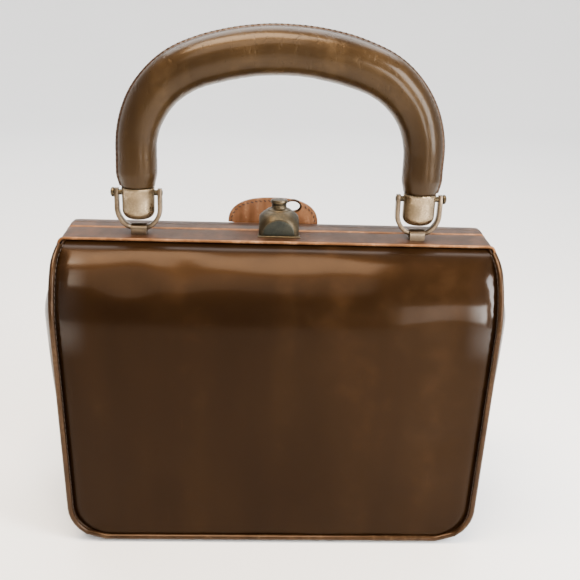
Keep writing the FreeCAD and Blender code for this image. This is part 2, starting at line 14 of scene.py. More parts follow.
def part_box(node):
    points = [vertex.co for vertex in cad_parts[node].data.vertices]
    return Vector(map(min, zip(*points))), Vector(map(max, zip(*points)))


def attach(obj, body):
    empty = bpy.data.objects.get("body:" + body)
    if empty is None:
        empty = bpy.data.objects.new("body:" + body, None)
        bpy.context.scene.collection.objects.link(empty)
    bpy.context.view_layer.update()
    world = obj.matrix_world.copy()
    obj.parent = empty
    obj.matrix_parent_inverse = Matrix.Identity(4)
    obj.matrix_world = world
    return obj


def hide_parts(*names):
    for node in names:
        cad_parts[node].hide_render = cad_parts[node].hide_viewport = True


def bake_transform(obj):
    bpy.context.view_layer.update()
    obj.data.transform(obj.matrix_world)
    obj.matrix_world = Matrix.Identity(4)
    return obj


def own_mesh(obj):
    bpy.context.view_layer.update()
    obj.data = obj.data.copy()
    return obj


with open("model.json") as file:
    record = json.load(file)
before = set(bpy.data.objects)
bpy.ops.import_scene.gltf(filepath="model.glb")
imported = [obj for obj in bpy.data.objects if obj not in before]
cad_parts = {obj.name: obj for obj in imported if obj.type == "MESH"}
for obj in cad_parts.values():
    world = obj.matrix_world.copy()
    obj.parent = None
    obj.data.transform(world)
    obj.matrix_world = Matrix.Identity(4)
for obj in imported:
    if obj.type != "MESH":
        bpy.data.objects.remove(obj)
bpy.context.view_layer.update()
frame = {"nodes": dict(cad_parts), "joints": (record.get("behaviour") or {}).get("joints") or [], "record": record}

LOG = logging.getLogger("doctor_bag")
MM = 0.001
Colour = tuple[float, float, float]
Point = Union[Vector, tuple[float, float, float]]


class Side(Enum):
    """The two ends of the bag, seen from the front."""

    LEFT = -1
    RIGHT = 1

    @property
    def word(self) -> str:
        """The side's name in piece names."""
        return self.name.lower()


class Half(Enum):
    """The two frame halves, with the sign of their y."""

    FRONT = -1
    BACK = 1

    @property
    def body(self) -> str:
        """The CAD body that this half of the frame is."""
        return "front_frame" if self is Half.FRONT else "back_frame"

    @property
    def word(self) -> str:
        """The half's name in piece names."""
        return self.name.lower()


def smooth(low: float, high: float, value: float) -> float:
    """A smooth step from 0 at low to 1 at high.

    Args:
        low: Where the step starts.
        high: Where it ends.
        value: The place on it.

    Returns:
        The step's height there.
    """
    t = min(1.0, max(0.0, (value - low) / (high - low)))
    return t * t * (3 - 2 * t)


def in_mm(pairs: Sequence[tuple[float, float]], start: float = 0.0) -> list[tuple[float, float]]:
    """A profile written in millimetres.

    Args:
        pairs: Radius and height pairs in millimetres.
        start: The height in metres that the heights are counted from.

    Returns:
        The pairs in metres.
    """
    return [(radius * MM, start + height * MM) for radius, height in pairs]


def oval(first: float, second: float, count: int) -> list[tuple[float, float]]:
    """Points round an oval with these two half widths."""
    angles = [2 * math.pi * k / count for k in range(count)]
    return [(first * math.cos(a), second * math.sin(a)) for a in angles]


# ------------------------------------------------------------------ shader maths


class Wire:
    """A node socket that can be used in Python expressions."""

    def __init__(self, shader: "Shader", socket: bpy.types.NodeSocket) -> None:
        """Keeps the socket and the shader that it belongs to.

        Args:
            shader: The shader being built.
            socket: The output socket.
        """
        self.shader = shader
        self.socket = socket

    def _math(self, operation: str, *values: "Value") -> "Wire":
        """One Math node on these values."""
        return self.shader.node("ShaderNodeMath", {"operation": operation}, dict(enumerate(values)))

    def __add__(self, other: "Value") -> "Wire":
        """The sum of two values."""
        return self._math("ADD", self, other)

    __radd__ = __add__

    def __sub__(self, other: "Value") -> "Wire":
        """This value less another."""
        return self._math("SUBTRACT", self, other)

    def __rsub__(self, other: "Value") -> "Wire":
        """Another value less this one."""
        return self._math("SUBTRACT", other, self)

    def __mul__(self, other: "Value") -> "Wire":
        """The product of two values."""
        return self._math("MULTIPLY", self, other)

    def size(self) -> "Wire":
        """This value without its sign."""
        return self._math("ABSOLUTE", self)

    def clamp(self) -> "Wire":
        """This value held between 0 and 1."""
        return self.shader.node("ShaderNodeClamp", {}, {"Value": self})

    def step(self, low: float, high: float) -> "Wire":
        """A smooth step of this value between two limits."""
        settings = {"interpolation_type": "SMOOTHSTEP"}
        inputs = {"Value": self, "From Min": low, "From Max": high}
        return self.shader.node("ShaderNodeMapRange", settings, inputs)


Value = Union[Wire, float, int, tuple, Vector]


class Shader:
    """A material's node tree, written as expressions."""

    def __init__(self, name: str) -> None:
        """Makes an empty material with one Principled shader.

        Args:
            name: The material's name.
        """
        self.material = bpy.data.materials.new(name)
        self.material.use_nodes = True
        self.tree = self.material.node_tree
        self.principled = self.tree.nodes["Principled BSDF"]

    def node(self, kind: str, settings: dict[str, Any], inputs: dict[Any, Value],
             output: Union[str, int] = 0) -> Wire:
        """Adds one node.

        Args:
            kind: The node's type.
            settings: Its attributes, set before its sockets.
            inputs: Values or wires by socket name or number.
            output: The output socket that is wanted.

        Returns:
            The chosen output.
        """
        made = self.tree.nodes.new(kind)
        for key, value in settings.items():
            if key == "stops":
                self._stops(made, value)
            else:
                setattr(made, key, value)
        for key, value in inputs.items():
            self.feed(made.inputs[key], value)
        return Wire(self, made.outputs[output])

    @staticmethod
    def _stops(ramp: bpy.types.Node, stops: Sequence[tuple[float, Colour]]) -> None:
        """Sets a colour ramp's stops.

        Args:
            ramp: The ramp node.
            stops: Places and their colours.
        """
        elements = ramp.color_ramp.elements
        while len(elements) < len(stops):
            elements.new(0.5)
        for element, (place, colour) in zip(elements, stops):
            element.position = place
            element.color = (*colour, 1.0)

    def feed(self, socket: bpy.types.NodeSocket, value: Value) -> None:
        """Links a wire to a socket, or sets a constant on it.

        Args:
            socket: The input socket.
            value: A wire, number or tuple.
        """
        if isinstance(value, Wire):
            self.tree.links.new(value.socket, socket)
        elif isinstance(value, tuple) and socket.type == "RGBA":
            socket.default_value = (*value, 1.0)[:4]
        else:
            socket.default_value = value

    def place(self, scale: Colour = (1.0, 1.0, 1.0)) -> Wire:
        """Object coordinates in metres, stretched by a scale."""
        where = self.node("ShaderNodeTexCoord", {}, {}, "Object")
        return self.node("ShaderNodeVectorMath", {"operation": "MULTIPLY"}, {0: where, 1: scale})

    def part(self, axis: str) -> Wire:
        """One object coordinate in metres."""
        return self.node("ShaderNodeSeparateXYZ", {}, {0: self.place()}, axis)

    def noise(self, scale: float, stretch: Colour = (1.0, 1.0, 1.0), detail: float = 3.0,
              warp: float = 0.0) -> Wire:
        """A noise value over the surface.

        Args:
            scale: Waves per metre.
            stretch: Factors on x, y and z.
            detail: Octaves.
            warp: Distortion.

        Returns:
            The noise's value.
        """
        inputs = {"Vector": self.place(stretch), "Scale": scale, "Detail": detail, "Distortion": warp}
        return self.node("ShaderNodeTexNoise", {}, inputs, "Fac")

    def cells(self, scale: float) -> Wire:
        """The distance to the nearest cell's middle, over the surface."""
        inputs = {"Vector": self.place(), "Scale": scale}
        return self.node("ShaderNodeTexVoronoi", {"feature": "F1"}, inputs, "Distance")

    def mix(self, factor: Value, low: Value, high: Value) -> Wire:
        """A colour between two colours.

        Args:
            factor: 0 for the first and 1 for the second.
            low: The first colour.
            high: The second colour.

        Returns:
            The mixed colour.
        """
        inputs = {0: factor, 6: low, 7: high}
        return self.node("ShaderNodeMix", {"data_type": "RGBA", "clamp_factor": True}, inputs, 2)

    def bump(self, height: Value, depth: float, strength: float = 1.0) -> Wire:
        """A normal from a height.

        Args:
            height: The height's value.
            depth: Its depth in metres.
            strength: How much of it shows.

        Returns:
            The bent normal.
        """
        inputs = {"Height": height, "Distance": depth, "Strength": strength}
        return self.node("ShaderNodeBump", {}, inputs, "Normal")

    def dress(self, **sockets: Value) -> bpy.types.Material:
        """Feeds the Principled shader, with spaces for underscores, and returns the material."""
        for name, value in sockets.items():
            self.feed(self.principled.inputs[name.replace("_", " ")], value)
        return self.material


# ------------------------------------------------------------------ finishes


@dataclass(frozen=True)
class LeatherFinish:
    """Polished, antiqued leather with mottling, streaks, grain and fine scratches."""

    name: str
    dark: Colour
    mid: Colour
    light: Colour
    roughness: float = 0.3
    coat: float = 0.12
    shine: float = 0.3
    glow: Colour = (1.0, 0.52, 0.22)
    grain: float = 0.00006
    grain_scale: float = 900.0
    mottle: float = 16.0
    streaks: Colour = (3.0, 3.0, 0.35)
    wear: float = 0.35
    crease: float = 0.0
    polish: float = 0.0

    def build(self) -> bpy.types.Material:
        """Makes the material."""
        s = Shader(self.name)
        cloud = s.noise(self.mottle, (1.0, 1.0, 1.0), 4.0, 0.6)
        streak = s.noise(self.mottle * 1.1, self.streaks, 2.0, 0.3)
        fine = s.noise(self.mottle * 9, (1.0, 1.0, 1.0), 4.0, 0.2)
        tone = (cloud * 0.5 + streak * 0.5).step(0.36, 0.66)
        base = s.mix(tone, self.dark, self.mid)
        worn = (streak * 0.6 + fine * 0.4).step(0.52, 0.74)
        base = s.mix(worn * self.wear, base, self.light)
        pores = s.cells(self.grain_scale)
        base = s.mix(pores.step(0.0, 0.45) * 0.25 + 0.75, self.dark, base)
        scuffs = s.noise(420.0, (1.0, 1.0, 0.08), 2.0, 0.3).step(0.74, 0.78)
        nicks = s.noise(520.0, (0.12, 0.5, 1.0), 2.0, 0.3).step(0.75, 0.79)
        marks = (scuffs + nicks).clamp()
        base = s.mix(marks * 0.1, base, self.light)
        rough = self.roughness + fine * 0.14 - 0.07 + marks * 0.1 + (1 - tone) * 0.03
        hide = pores * 0.5 + s.noise(self.grain_scale * 0.5, detail=2.0) * 0.5
        normal = s.bump(hide - marks * 0.2, self.grain, 0.5)
        soft = s.noise(34.0, (1.0, 1.0, 0.7), 2.0)
        s.feed(normal.socket.node.inputs["Normal"], s.bump(self.relief(s, soft), 0.0012, 0.16))
        coat: Value = self.coat
        if self.polish:
            ends = s.part("X").size().step(0.104, 0.118)
            faces = s.part("Y").size().step(0.030, 0.044)
            coat = ends * faces * s.part("Z").step(0.118, 0.135) * self.polish + self.coat
        return s.dress(Base_Color=base, Roughness=rough, Normal=normal, Coat_Weight=coat,
                       Coat_Roughness=0.14, Specular_IOR_Level=self.shine, Specular_Tint=self.glow)

    def relief(self, s: Shader, soft: Wire) -> Wire:
        """The broad relief: softness, and creases across a handle where there are any."""
        if not self.crease:
            return soft
        folds = s.noise(420.0, (1.0, 0.35, 0.35), 3.0, 0.5).step(0.55, 0.75)
        return soft - folds * self.crease


@dataclass(frozen=True)
class MetalFinish:
    """Old plated metal with a cloudy patina and rubbed places."""

    name: str
    bright: Colour
    patina: Colour
    roughness: float = 0.3
    cover: float = 0.5
    brushed: float = 0.00001

    def build(self) -> bpy.types.Material:
        """Makes the material."""
        s = Shader(self.name)
        cloud = s.noise(95.0, detail=5.0, warp=0.5)
        speck = s.noise(900.0, detail=3.0)
        aged = (cloud * 0.7 + speck * 0.3).step(0.42, 0.66)
        base = s.mix(aged * self.cover, self.bright, self.patina)
        line = s.noise(1300.0, (1.0, 1.0, 0.06), 2.0)
        rough = self.roughness + aged * 0.2 + speck * 0.08
        normal = s.bump(line * 0.6 + speck * 0.4, self.brushed, 0.6)
        return s.dress(Base_Color=base, Roughness=rough, Metallic=1.0 - aged * 0.15, Normal=normal)


@dataclass(frozen=True)
class SoftFinish:
    """Matte material with a nap: suede, board, wood or thread."""

    name: str
    dark: Colour
    light: Colour
    scale: float = 500.0
    stretch: Colour = (1.0, 1.0, 1.0)
    roughness: float = 0.85
    depth: float = 0.0001

    def build(self) -> bpy.types.Material:
        """Makes the material."""
        s = Shader(self.name)
        nap = s.noise(self.scale, self.stretch, 4.0, 0.3)
        broad = s.noise(self.scale * 0.05, detail=2.0)
        base = s.mix((nap * 0.6 + broad * 0.4).step(0.35, 0.65), self.dark, self.light)
        normal = s.bump(nap, self.depth, 0.5)
        return s.dress(Base_Color=base, Roughness=self.roughness - nap * 0.1, Normal=normal)


@dataclass
class Finishes:
    """Every finish on the bag, made once and handed out by name."""

    made: dict[str, bpy.types.Material] = field(default_factory=dict)

    CATALOGUE = {finish.name: finish for finish in (
        LeatherFinish("body_leather", (0.0040, 0.0016, 0.0005), (0.0090, 0.0040, 0.0013),
                      (0.036, 0.0165, 0.0062), roughness=0.33, coat=0.05, mottle=9.0, wear=0.24,
                      shine=0.10, polish=0.42),
        LeatherFinish("rail_leather", (0.017, 0.0068, 0.0028), (0.036, 0.0155, 0.0070),
                      (0.10, 0.050, 0.026), roughness=0.4, mottle=40.0, shine=0.16, coat=0.05,
                      glow=(1.0, 0.8, 0.66)),
        LeatherFinish("cut_edge", (0.09, 0.038, 0.015), (0.19, 0.085, 0.036),
                      (0.46, 0.27, 0.15), roughness=0.5, coat=0.05, mottle=60.0),
        LeatherFinish("piping_leather", (0.007, 0.0035, 0.0016), (0.020, 0.010, 0.0048),
                      (0.095, 0.062, 0.034), roughness=0.3, shine=0.2, coat=0.12, mottle=50.0,
                      wear=0.4),
        LeatherFinish("handle_leather", (0.0115, 0.0058, 0.0020), (0.0230, 0.0125, 0.0046),
                      (0.070, 0.042, 0.019), roughness=0.29, coat=0.13, mottle=20.0, wear=0.25,
                      shine=0.17, grain_scale=1200.0, crease=1.2, glow=(1.0, 0.66, 0.36)),
        LeatherFinish("welt_leather", (0.012, 0.006, 0.0035), (0.035, 0.018, 0.010),
                      (0.12, 0.07, 0.04), roughness=0.42, coat=0.1, mottle=90.0),
        LeatherFinish("tab_leather", (0.115, 0.047, 0.021), (0.22, 0.098, 0.046),
                      (0.52, 0.29, 0.17), roughness=0.45, coat=0.1, mottle=60.0),
        SoftFinish("lining_suede", (0.10, 0.055, 0.03), (0.19, 0.115, 0.065), 700.0),
        SoftFinish("board", (0.09, 0.065, 0.042), (0.16, 0.12, 0.08), 300.0),
        SoftFinish("core_wood", (0.28, 0.18, 0.1), (0.42, 0.3, 0.18), 160.0, (8.0, 8.0, 1.0), 0.6),
        SoftFinish("thread", (0.012, 0.007, 0.005), (0.035, 0.02, 0.013), 4000.0, depth=0.00004),
        MetalFinish("antique_brass", (0.066, 0.049, 0.028), (0.013, 0.0135, 0.009), 0.32, 0.75),
        MetalFinish("dark_patina", (0.036, 0.036, 0.028), (0.014, 0.0165, 0.014), 0.42, 0.9),
        MetalFinish("antique_nickel", (0.28, 0.21, 0.125), (0.12, 0.08, 0.04), 0.22, 0.7),
        MetalFinish("bail_bronze", (0.17, 0.125, 0.08), (0.05, 0.033, 0.019), 0.26, 0.8),
        MetalFinish("frame_steel", (0.5, 0.49, 0.47), (0.25, 0.22, 0.19), 0.35, 0.4),
        MetalFinish("spring_steel", (0.58, 0.58, 0.58), (0.4, 0.38, 0.36), 0.25, 0.3),
    )}

    def get(self, name: str) -> bpy.types.Material:
        """The material of this name, built the first time that it is asked for."""
        if name not in self.made:
            self.made[name] = self.CATALOGUE[name].build()
        return self.made[name]


FINISHES = Finishes()


# ------------------------------------------------------------------ mesh making


@dataclass(frozen=True)
class Stitch:
    """One size of sewn stitch.

    Attributes:
        step: Distance from stitch to stitch.
        length: One stitch's length.
        radius: The thread's radius.
        tilt: How far each stitch leans across the seam.
    """

    step: float
    length: float
    radius: float
    tilt: float


GRIP_STITCH = Stitch(3.2 * MM, 2.3 * MM, 0.3 * MM, 0.35)
TAB_STITCH = Stitch(2.7 * MM, 1.9 * MM, 0.3 * MM, 0.5)
WELT_STITCH = Stitch(3.4 * MM, 2.3 * MM, 0.16 * MM, 0.0)
POCKET_STITCH = Stitch(3.2 * MM, 2.3 * MM, 0.28 * MM, 0.25)


class Maker:
    """Turns rows of points, profiles and paths into meshes."""

    @staticmethod
    def piece(name: str, verts: Sequence[Point], faces: Sequence[Sequence[int]], finish: str,
              sharp_deg: float = 50.0) -> bpy.types.Object:
        """One object with its finish.

        Args:
            name: The piece's name.
            verts: Its points.
            faces: Its faces.
            finish: The finish's name.
            sharp_deg: Edges over this angle stay sharp.

        Returns:
            The new object.
        """
        mesh = bpy.data.meshes.new(name)
        mesh.from_pydata([tuple(v) for v in verts], [], [list(f) for f in faces])
        bm = bmesh.new()
        bm.from_mesh(mesh)
        bmesh.ops.remove_doubles(bm, verts=bm.verts, dist=1e-6)
        bmesh.ops.recalc_face_normals(bm, faces=bm.faces)
        limit = math.radians(sharp_deg)
        for face in bm.faces:
            face.smooth = True
        for edge in bm.edges:
            edge.smooth = len(edge.link_faces) != 2 or edge.calc_face_angle(0.0) < limit
        bm.to_mesh(mesh)
        bm.free()
        obj = bpy.data.objects.new(name, mesh)
        bpy.context.scene.collection.objects.link(obj)
        mesh.materials.append(FINISHES.get(finish))
        return obj

    @staticmethod
    def grid(rows: Sequence[Sequence[Point]], closed: bool = False, capped: bool = False,
             ring: bool = False) -> tuple[list[Point], list[list[int]]]:
        """Points and faces of a net of rows.

        Args:
            rows: Rows with the same number of points.
            closed: Whether each row is a loop.
            capped: Whether the first and last rows are filled.
            ring: Whether the last row joins the first.

        Returns:
            Points and faces.
        """
        width = len(rows[0])
        verts = [p for row in rows for p in row]
        faces = []
        for i in range(len(rows) if ring else len(rows) - 1):
            after = (i + 1) % len(rows)
            for j in range(width if closed else width - 1):
                k = (j + 1) % width
                faces.append([i * width + j, i * width + k, after * width + k, after * width + j])
        if capped:
            faces.append(list(range(width))[::-1])
            faces.append([(len(rows) - 1) * width + j for j in range(width)])
        return verts, faces

    @classmethod
    def net(cls, name: str, rows: Sequence[Sequence[Point]], finish: str, sharp_deg: float = 50.0,
            **kind: bool) -> bpy.types.Object:
        """One object from rows of points.

        Args:
            name: The piece's name.
            rows: Rows with the same number of points.
            finish: The finish's name.
            sharp_deg: Edges over this angle stay sharp.
            kind: How grid closes the net.

        Returns:
            The new object.
        """
        verts, faces = cls.grid(rows, **kind)
        return cls.piece(name, verts, faces, finish, sharp_deg)

    @classmethod
    def lathe(cls, name: str, profile: Sequence[tuple[float, float]], centre: Point, finish: str,
              axis: Point = (0, 0, 1), segments: int = 48) -> bpy.types.Object:
        """A turned piece.

        Args:
            name: The piece's name.
            profile: Radius and height pairs from one end of the axis to the other.
            centre: The profile's zero height.
            finish: The finish's name.
            axis: The turning axis.
            segments: Steps round it.

        Returns:
            The new object.
        """
        turn = Vector((0, 0, 1)).rotation_difference(Vector(axis)).to_matrix()
        rows = []
        for radius, height in profile:
            row = []
            for i in range(segments):
                angle = 2 * math.pi * i / segments
                spoke = Vector((radius * math.cos(angle), radius * math.sin(angle), height))
                row.append(Vector(centre) + turn @ spoke)
            rows.append(row)
        return cls.net(name, rows, finish, 35.0, closed=True, capped=True)

    @classmethod
    def sweep(cls, name: str, path: Sequence[Vector], section: Callable[[float], list[tuple[float, float]]],
              finish: str, up: Point, closed: bool = False) -> bpy.types.Object:
        """A section carried along a path.

        Args:
            name: The piece's name.
            path: Points along the middle.
            section: Gives the section's points at a share of the way, as steps along up and across.
            finish: The finish's name.
            up: The direction that the section's first coordinate leans to.
            closed: Whether the path is a loop.

        Returns:
            The new object.
        """
        rows = []
        count = len(path)
        for i, here in enumerate(path):
            before = path[(i - 1) % count] if closed or i else here
            after = path[(i + 1) % count] if closed or i < count - 1 else here
            along = (after - before).normalized()
            across = along.cross(Vector(up)).normalized()
            rise = across.cross(along).normalized()
            rows.append([here + rise * a + across * b for a, b in section(i / (count - 1))])
        return cls.net(name, rows, finish, closed=True, capped=not closed, ring=closed)

    @staticmethod
    def join(name: str, pieces: Sequence[bpy.types.Object]) -> bpy.types.Object:
        """Joins pieces of one finish into one object.

        Args:
            name: The joined piece's name.
            pieces: What to join.

        Returns:
            The joined object.
        """
        bm = bmesh.new()
        for obj in pieces:
            bm.from_mesh(obj.data)
        mesh = bpy.data.meshes.new(name)
        bm.to_mesh(mesh)
        bm.free()
        mesh.materials.append(pieces[0].data.materials[0])
        made = bpy.data.objects.new(name, mesh)
        bpy.context.scene.collection.objects.link(made)
        for obj in pieces:
            bpy.data.objects.remove(obj)
        return made

    @staticmethod
    def apply(obj: bpy.types.Object, kind: str, **settings: Any) -> bpy.types.Object:
        """Adds a modifier and bakes it into the mesh.

        Args:
            obj: The object.
            kind: The modifier's type.
            settings: Its attributes.

        Returns:
            The same object.
        """
        modifier = obj.modifiers.new(kind.lower(), kind)
        for key, value in settings.items():
            setattr(modifier, key, value)
        graph = bpy.context.evaluated_depsgraph_get()
        mesh = bpy.data.meshes.new_from_object(obj.evaluated_get(graph))
        old = obj.data
        obj.modifiers.clear()
        obj.data = mesh
        bpy.data.meshes.remove(old)
        return obj

    @classmethod
    def softened(cls, name: str, node: str, finish: str, width: float) -> bpy.types.Object:
        """A copy of a frame piece with its hard edges rounded.

        Args:
            name: The copy's name.
            node: The frame piece.
            finish: The finish's name.
            width: How wide each rounded edge is.

        Returns:
            The copy.
        """
        mesh = frame["nodes"][node].data
        copy = cls.piece(name, [v.co.copy() for v in mesh.vertices],
                         [list(p.vertices) for p in mesh.polygons], finish, 30.0)
        bm = bmesh.new()
        bm.from_mesh(copy.data)
        bmesh.ops.dissolve_limit(bm, angle_limit=math.radians(1.0), verts=bm.verts, edges=bm.edges)
        bm.to_mesh(copy.data)
        bm.free()
        cls.apply(copy, "BEVEL", width=width, segments=3, limit_method="ANGLE", angle_limit=math.radians(40),
                  use_clamp_overlap=True, harden_normals=False)
        for polygon in copy.data.polygons:
            polygon.use_smooth = True
        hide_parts(node)
        return copy

    @classmethod
    def stitches(cls, name: str, path: Sequence[Vector], out: Callable[[Vector], Vector],
                 stitch: Stitch) -> bpy.types.Object:
        """A row of sewn thread along a path.

        Args:
            name: The row's name.
            path: Points along the seam.
            out: Gives the surface's outward direction at a point.
            stitch: The stitches' size.

        Returns:
            The row as one object.
        """
        verts: list[Vector] = []
        faces: list[list[int]] = []
        left = stitch.step / 2
        for here, after in zip(path, path[1:]):
            run = (after - here).length
            while left < run:
                middle = here.lerp(after, left / run)
                along = (after - here).normalized()
                rise = out(middle)
                across = along.cross(rise).normalized()
                line = (along + across * stitch.tilt).normalized()
                side = line.cross(rise).normalized()
                rows = []
                for t in (-1.0, -0.7, 0.0, 0.7, 1.0):
                    lift = stitch.radius * (0.9 - 1.5 * t * t)
                    thin = stitch.radius * (1.0 - 0.6 * t ** 4)
                    mid = middle + line * (t * stitch.length / 2) + rise * lift
                    rows.append([mid + side * math.cos(a) * thin + rise * math.sin(a) * thin
                                 for a in (k * math.pi / 3 for k in range(6))])
                points, quads = cls.grid(rows, closed=True, capped=True)
                faces += [[i + len(verts) for i in quad] for quad in quads]
                verts += points
                left += stitch.step
            left -= run
        return cls.piece(name, verts, faces, "thread")


# ------------------------------------------------------------------ the bag's own sizes


class Layout:
    """Places that every piece shares, read from the frame."""

    COVER = 1 * MM  # the sleeve's top over the rail's line
    CORNER = 20 * MM  # radius of the front's lower corners

    def __init__(self) -> None:
        """Reads the frame's boxes and joints."""
        joints = {joint["name"]: joint for joint in frame["joints"]}
        rail_low, rail_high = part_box("front_rail_cover")
        panel_low, panel_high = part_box("front_panel")
        self.rail = rail_high.z - self.COVER
        self.rail_depth = -rail_low.y
        self.rail_half = rail_high.x
        self.pivot = joints["front_frame_opening"]["pos_m"][2]
        self.bar = Vector(joints["bail_swing"]["pos_m"])
        self.pin = Vector(joints["handle_swing"]["pos_m"])
        self.tab_axis = Vector(joints["tab_swing"]["pos_m"])
        self.base = panel_low.z
        self.depth = -panel_low.y
        self.base_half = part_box("base_panel")[1].x + self.CORNER
        self.flare = (panel_high.x - self.base_half) / (panel_high.z - panel_low.z)
        ferrule_low, ferrule_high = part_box("right_ferrule")
        self.handle_x = (ferrule_low.x + ferrule_high.x) / 2

    def half_width(self, z: float) -> float:
        """Half of the front's width at a height, without its rounded corners."""
        return self.base_half + self.flare * (z - self.base)


LAYOUT = Layout()


@dataclass
class BodySkins:
    """The bag's leather: panels with their shoulders, gussets, piping, lining and pleats."""

    thickness: float = 1.3 * MM
    gusset_bulge: float = 9.0 * MM
    rail_tuck: float = 1.6 * MM
    blend_below: float = 52 * MM
    piping_radius: float = 1.7 * MM
    lining_inset: float = 2.2 * MM
    lining_cloth: float = 0.6 * MM
    pleat_in: float = 12 * MM
    pleat_steps: tuple[int, int] = (12, 8)
    rail_hold: float = 2 * MM
    neck_start: float = 12 * MM
    neck_curve: float = 50 * MM
    belly: float = 1.6 * MM
    wave: float = 0.8 * MM
    fine_wave: float = 0.22 * MM
    pucker: float = 0.175 * MM
    edge_roll: float = 2.3 * MM
    rail_groove: float = 1.1 * MM
    gusset_ripple: float = 0.6 * MM
    gusset_crease: float = 2.2 * MM
    gusset_steps: int = 16
    columns: int = 96
    rows: int = 84

    DENTS = ((-84, 163, 15, 1.3), (-52, 168, 11, 0.8), (30, 166, 22, 0.5), (96, 138, 20, 0.9),
             (96, 70, 16, 0.7))  # place across, height, size and depth in mm

    def blend(self, obj: bpy.types.Object) -> bpy.types.Object:
        """Bakes a piece's placement into its mesh.

        Args:
            obj: The piece.

        Returns:
            The same piece.
        """
        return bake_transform(obj)

    def profile(self, inset: float) -> list[tuple[float, float]]:
        """The front's section from its base to under the rail, as y and z pairs."""
        radius = LAYOUT.depth - inset
        top = math.acos((LAYOUT.rail_depth - self.rail_tuck) / LAYOUT.depth)
        low = LAYOUT.base + inset
        points = []
        steps = self.rows * 3 // 5
        for i in range(steps):
            t = i / steps
            ease = 1 - (1 - t) ** 1.25
            points.append((-radius, low + (LAYOUT.pivot - low) * ease))
        for i in range(self.rows - steps + 1):
            angle = top * i / (self.rows - steps)
            points.append((-radius * math.cos(angle), LAYOUT.pivot + radius * math.sin(angle)))
        return points

    def edge_x(self, z: float, inset: float) -> float:
        """Half of the outline's width at a height, with the rounded lower corner."""
        radius = LAYOUT.CORNER - inset
        rise = z - LAYOUT.base - inset
        half = LAYOUT.half_width(z) - inset
        if rise < radius:
            half -= radius - math.sqrt(max(0.0, radius ** 2 - (radius - rise) ** 2))
        top = LAYOUT.rail - self.neck_start
        if z > top:
            half -= (z - top) ** 2 / self.neck_curve
        return half

    def sag(self, x: float, y: float, z: float, share: float) -> float:
        """How far the leather stands out of its plain section: a soft belly, dents and ripples.

        Args:
            x: Place across.
            y: Place in depth.
            z: Height.
            share: Place across, from -1 to 1.

        Returns:
            The distance outward.
        """
        edge = 1 - abs(share) ** 4
        rise = (z - LAYOUT.base) / (LAYOUT.rail - LAYOUT.base)
        belly = self.belly * math.sin(math.pi * min(1.0, rise * 1.15)) * edge
        wave = self.wave * noise.noise(Vector((x * 22, y * 14 + 5, z * 9)))
        ripple = self.fine_wave * noise.noise(Vector((x * 60, y * 40, z * 22 + 9)))
        dents = 0.0
        for dent_x, dent_z, size, depth in self.DENTS:
            away = ((x / MM - dent_x) / size) ** 2 + ((z / MM - dent_z) / (size * 0.6)) ** 2
            dents += depth * MM * math.exp(-away)
        pucker = self.pucker * math.sin(z / MM * 0.9) * math.exp(-((1 - abs(share)) / 0.035) ** 2)
        roll = self.edge_roll * (max(0.0, abs(share) - 0.93) / 0.07) ** 2
        return belly + (wave + ripple) * edge - dents + pucker - roll

    def panel_rows(self, half: Half, inset: float, soft: bool) -> list[list[Vector]]:
        """The net of a whole panel with its shoulder.

        Args:
            half: Front or back.
            inset: How far inside the outer face.
            soft: Whether dents and the belly show.

        Returns:
            Rows of points.
        """
        rows = []
        for y, z in self.profile(inset):
            edge = self.edge_x(z, inset)
            lean = max(0.0, z - LAYOUT.pivot)
            out = Vector((0, y, lean)).normalized()
            row = []
            for j in range(self.columns + 1):
                t = 2 * j / self.columns - 1
                share = math.sin(t * math.pi / 2) * 0.35 + t * 0.65
                x = share * edge
                push = self.sag(x, y, z, share) if soft else 0.0
                near_rail = smooth(LAYOUT.rail - 1 * MM, LAYOUT.rail - 9 * MM, z)
                groove = self.rail_groove * smooth(LAYOUT.rail - 3.5 * MM, LAYOUT.rail - 0.8 * MM, z)
                point = Vector((x, y, z)) + out * (push * near_rail - groove)
                point.y *= -half.value
                row.append(point)
            rows.append(row)
        return rows

    @staticmethod
    def fullness(z: float) -> float:
        """The share of the gusset's bulge at a height, most just below the pivots."""
        return smooth(LAYOUT.base + 5 * MM, LAYOUT.base + 125 * MM, z) * (
            1 - smooth(LAYOUT.rail - 40 * MM, LAYOUT.rail - 2 * MM, z))

    def side_push(self, z: float, t: float) -> float:
        """How far the gusset stands out of its plain section.

        Args:
            z: Height.
            t: Place from the panel's edge, 0, to the middle, 1.

        Returns:
            The distance outward.
        """
        fold = smooth(LAYOUT.pivot - 6 * MM, LAYOUT.pivot + 22 * MM, z)
        crease = self.gusset_crease * fold * smooth(0.8, 1.0, t)
        return self.gusset_bulge * self.fullness(z) * (1 - (1 - t) ** 6) - crease

    def outline(self, inset: float, out: float = 0.0) -> list[tuple[float, float, float, float]]:
        """The side outline from the right rail end down, along the base and up the left.

        Args:
            inset: How far inside the outer face.
            out: How far the points are pushed sideways, away from the bag.

        Returns:
            Tuples of x, z, depth and the share of side bulge.
        """
        side = []
        for y, z in self.profile(inset):
            side.append((self.edge_x(z, inset) + out, z, -y, self.fullness(z)))
        lowest = side[0]
        base = []
        count = self.columns // 2
        for i in range(1, count):
            base.append((lowest[0] * (1 - 2 * i / count), lowest[1], lowest[2], 0.0))
        left = [(-x, z, d, s) for x, z, d, s in side]
        return side[::-1] + base + left

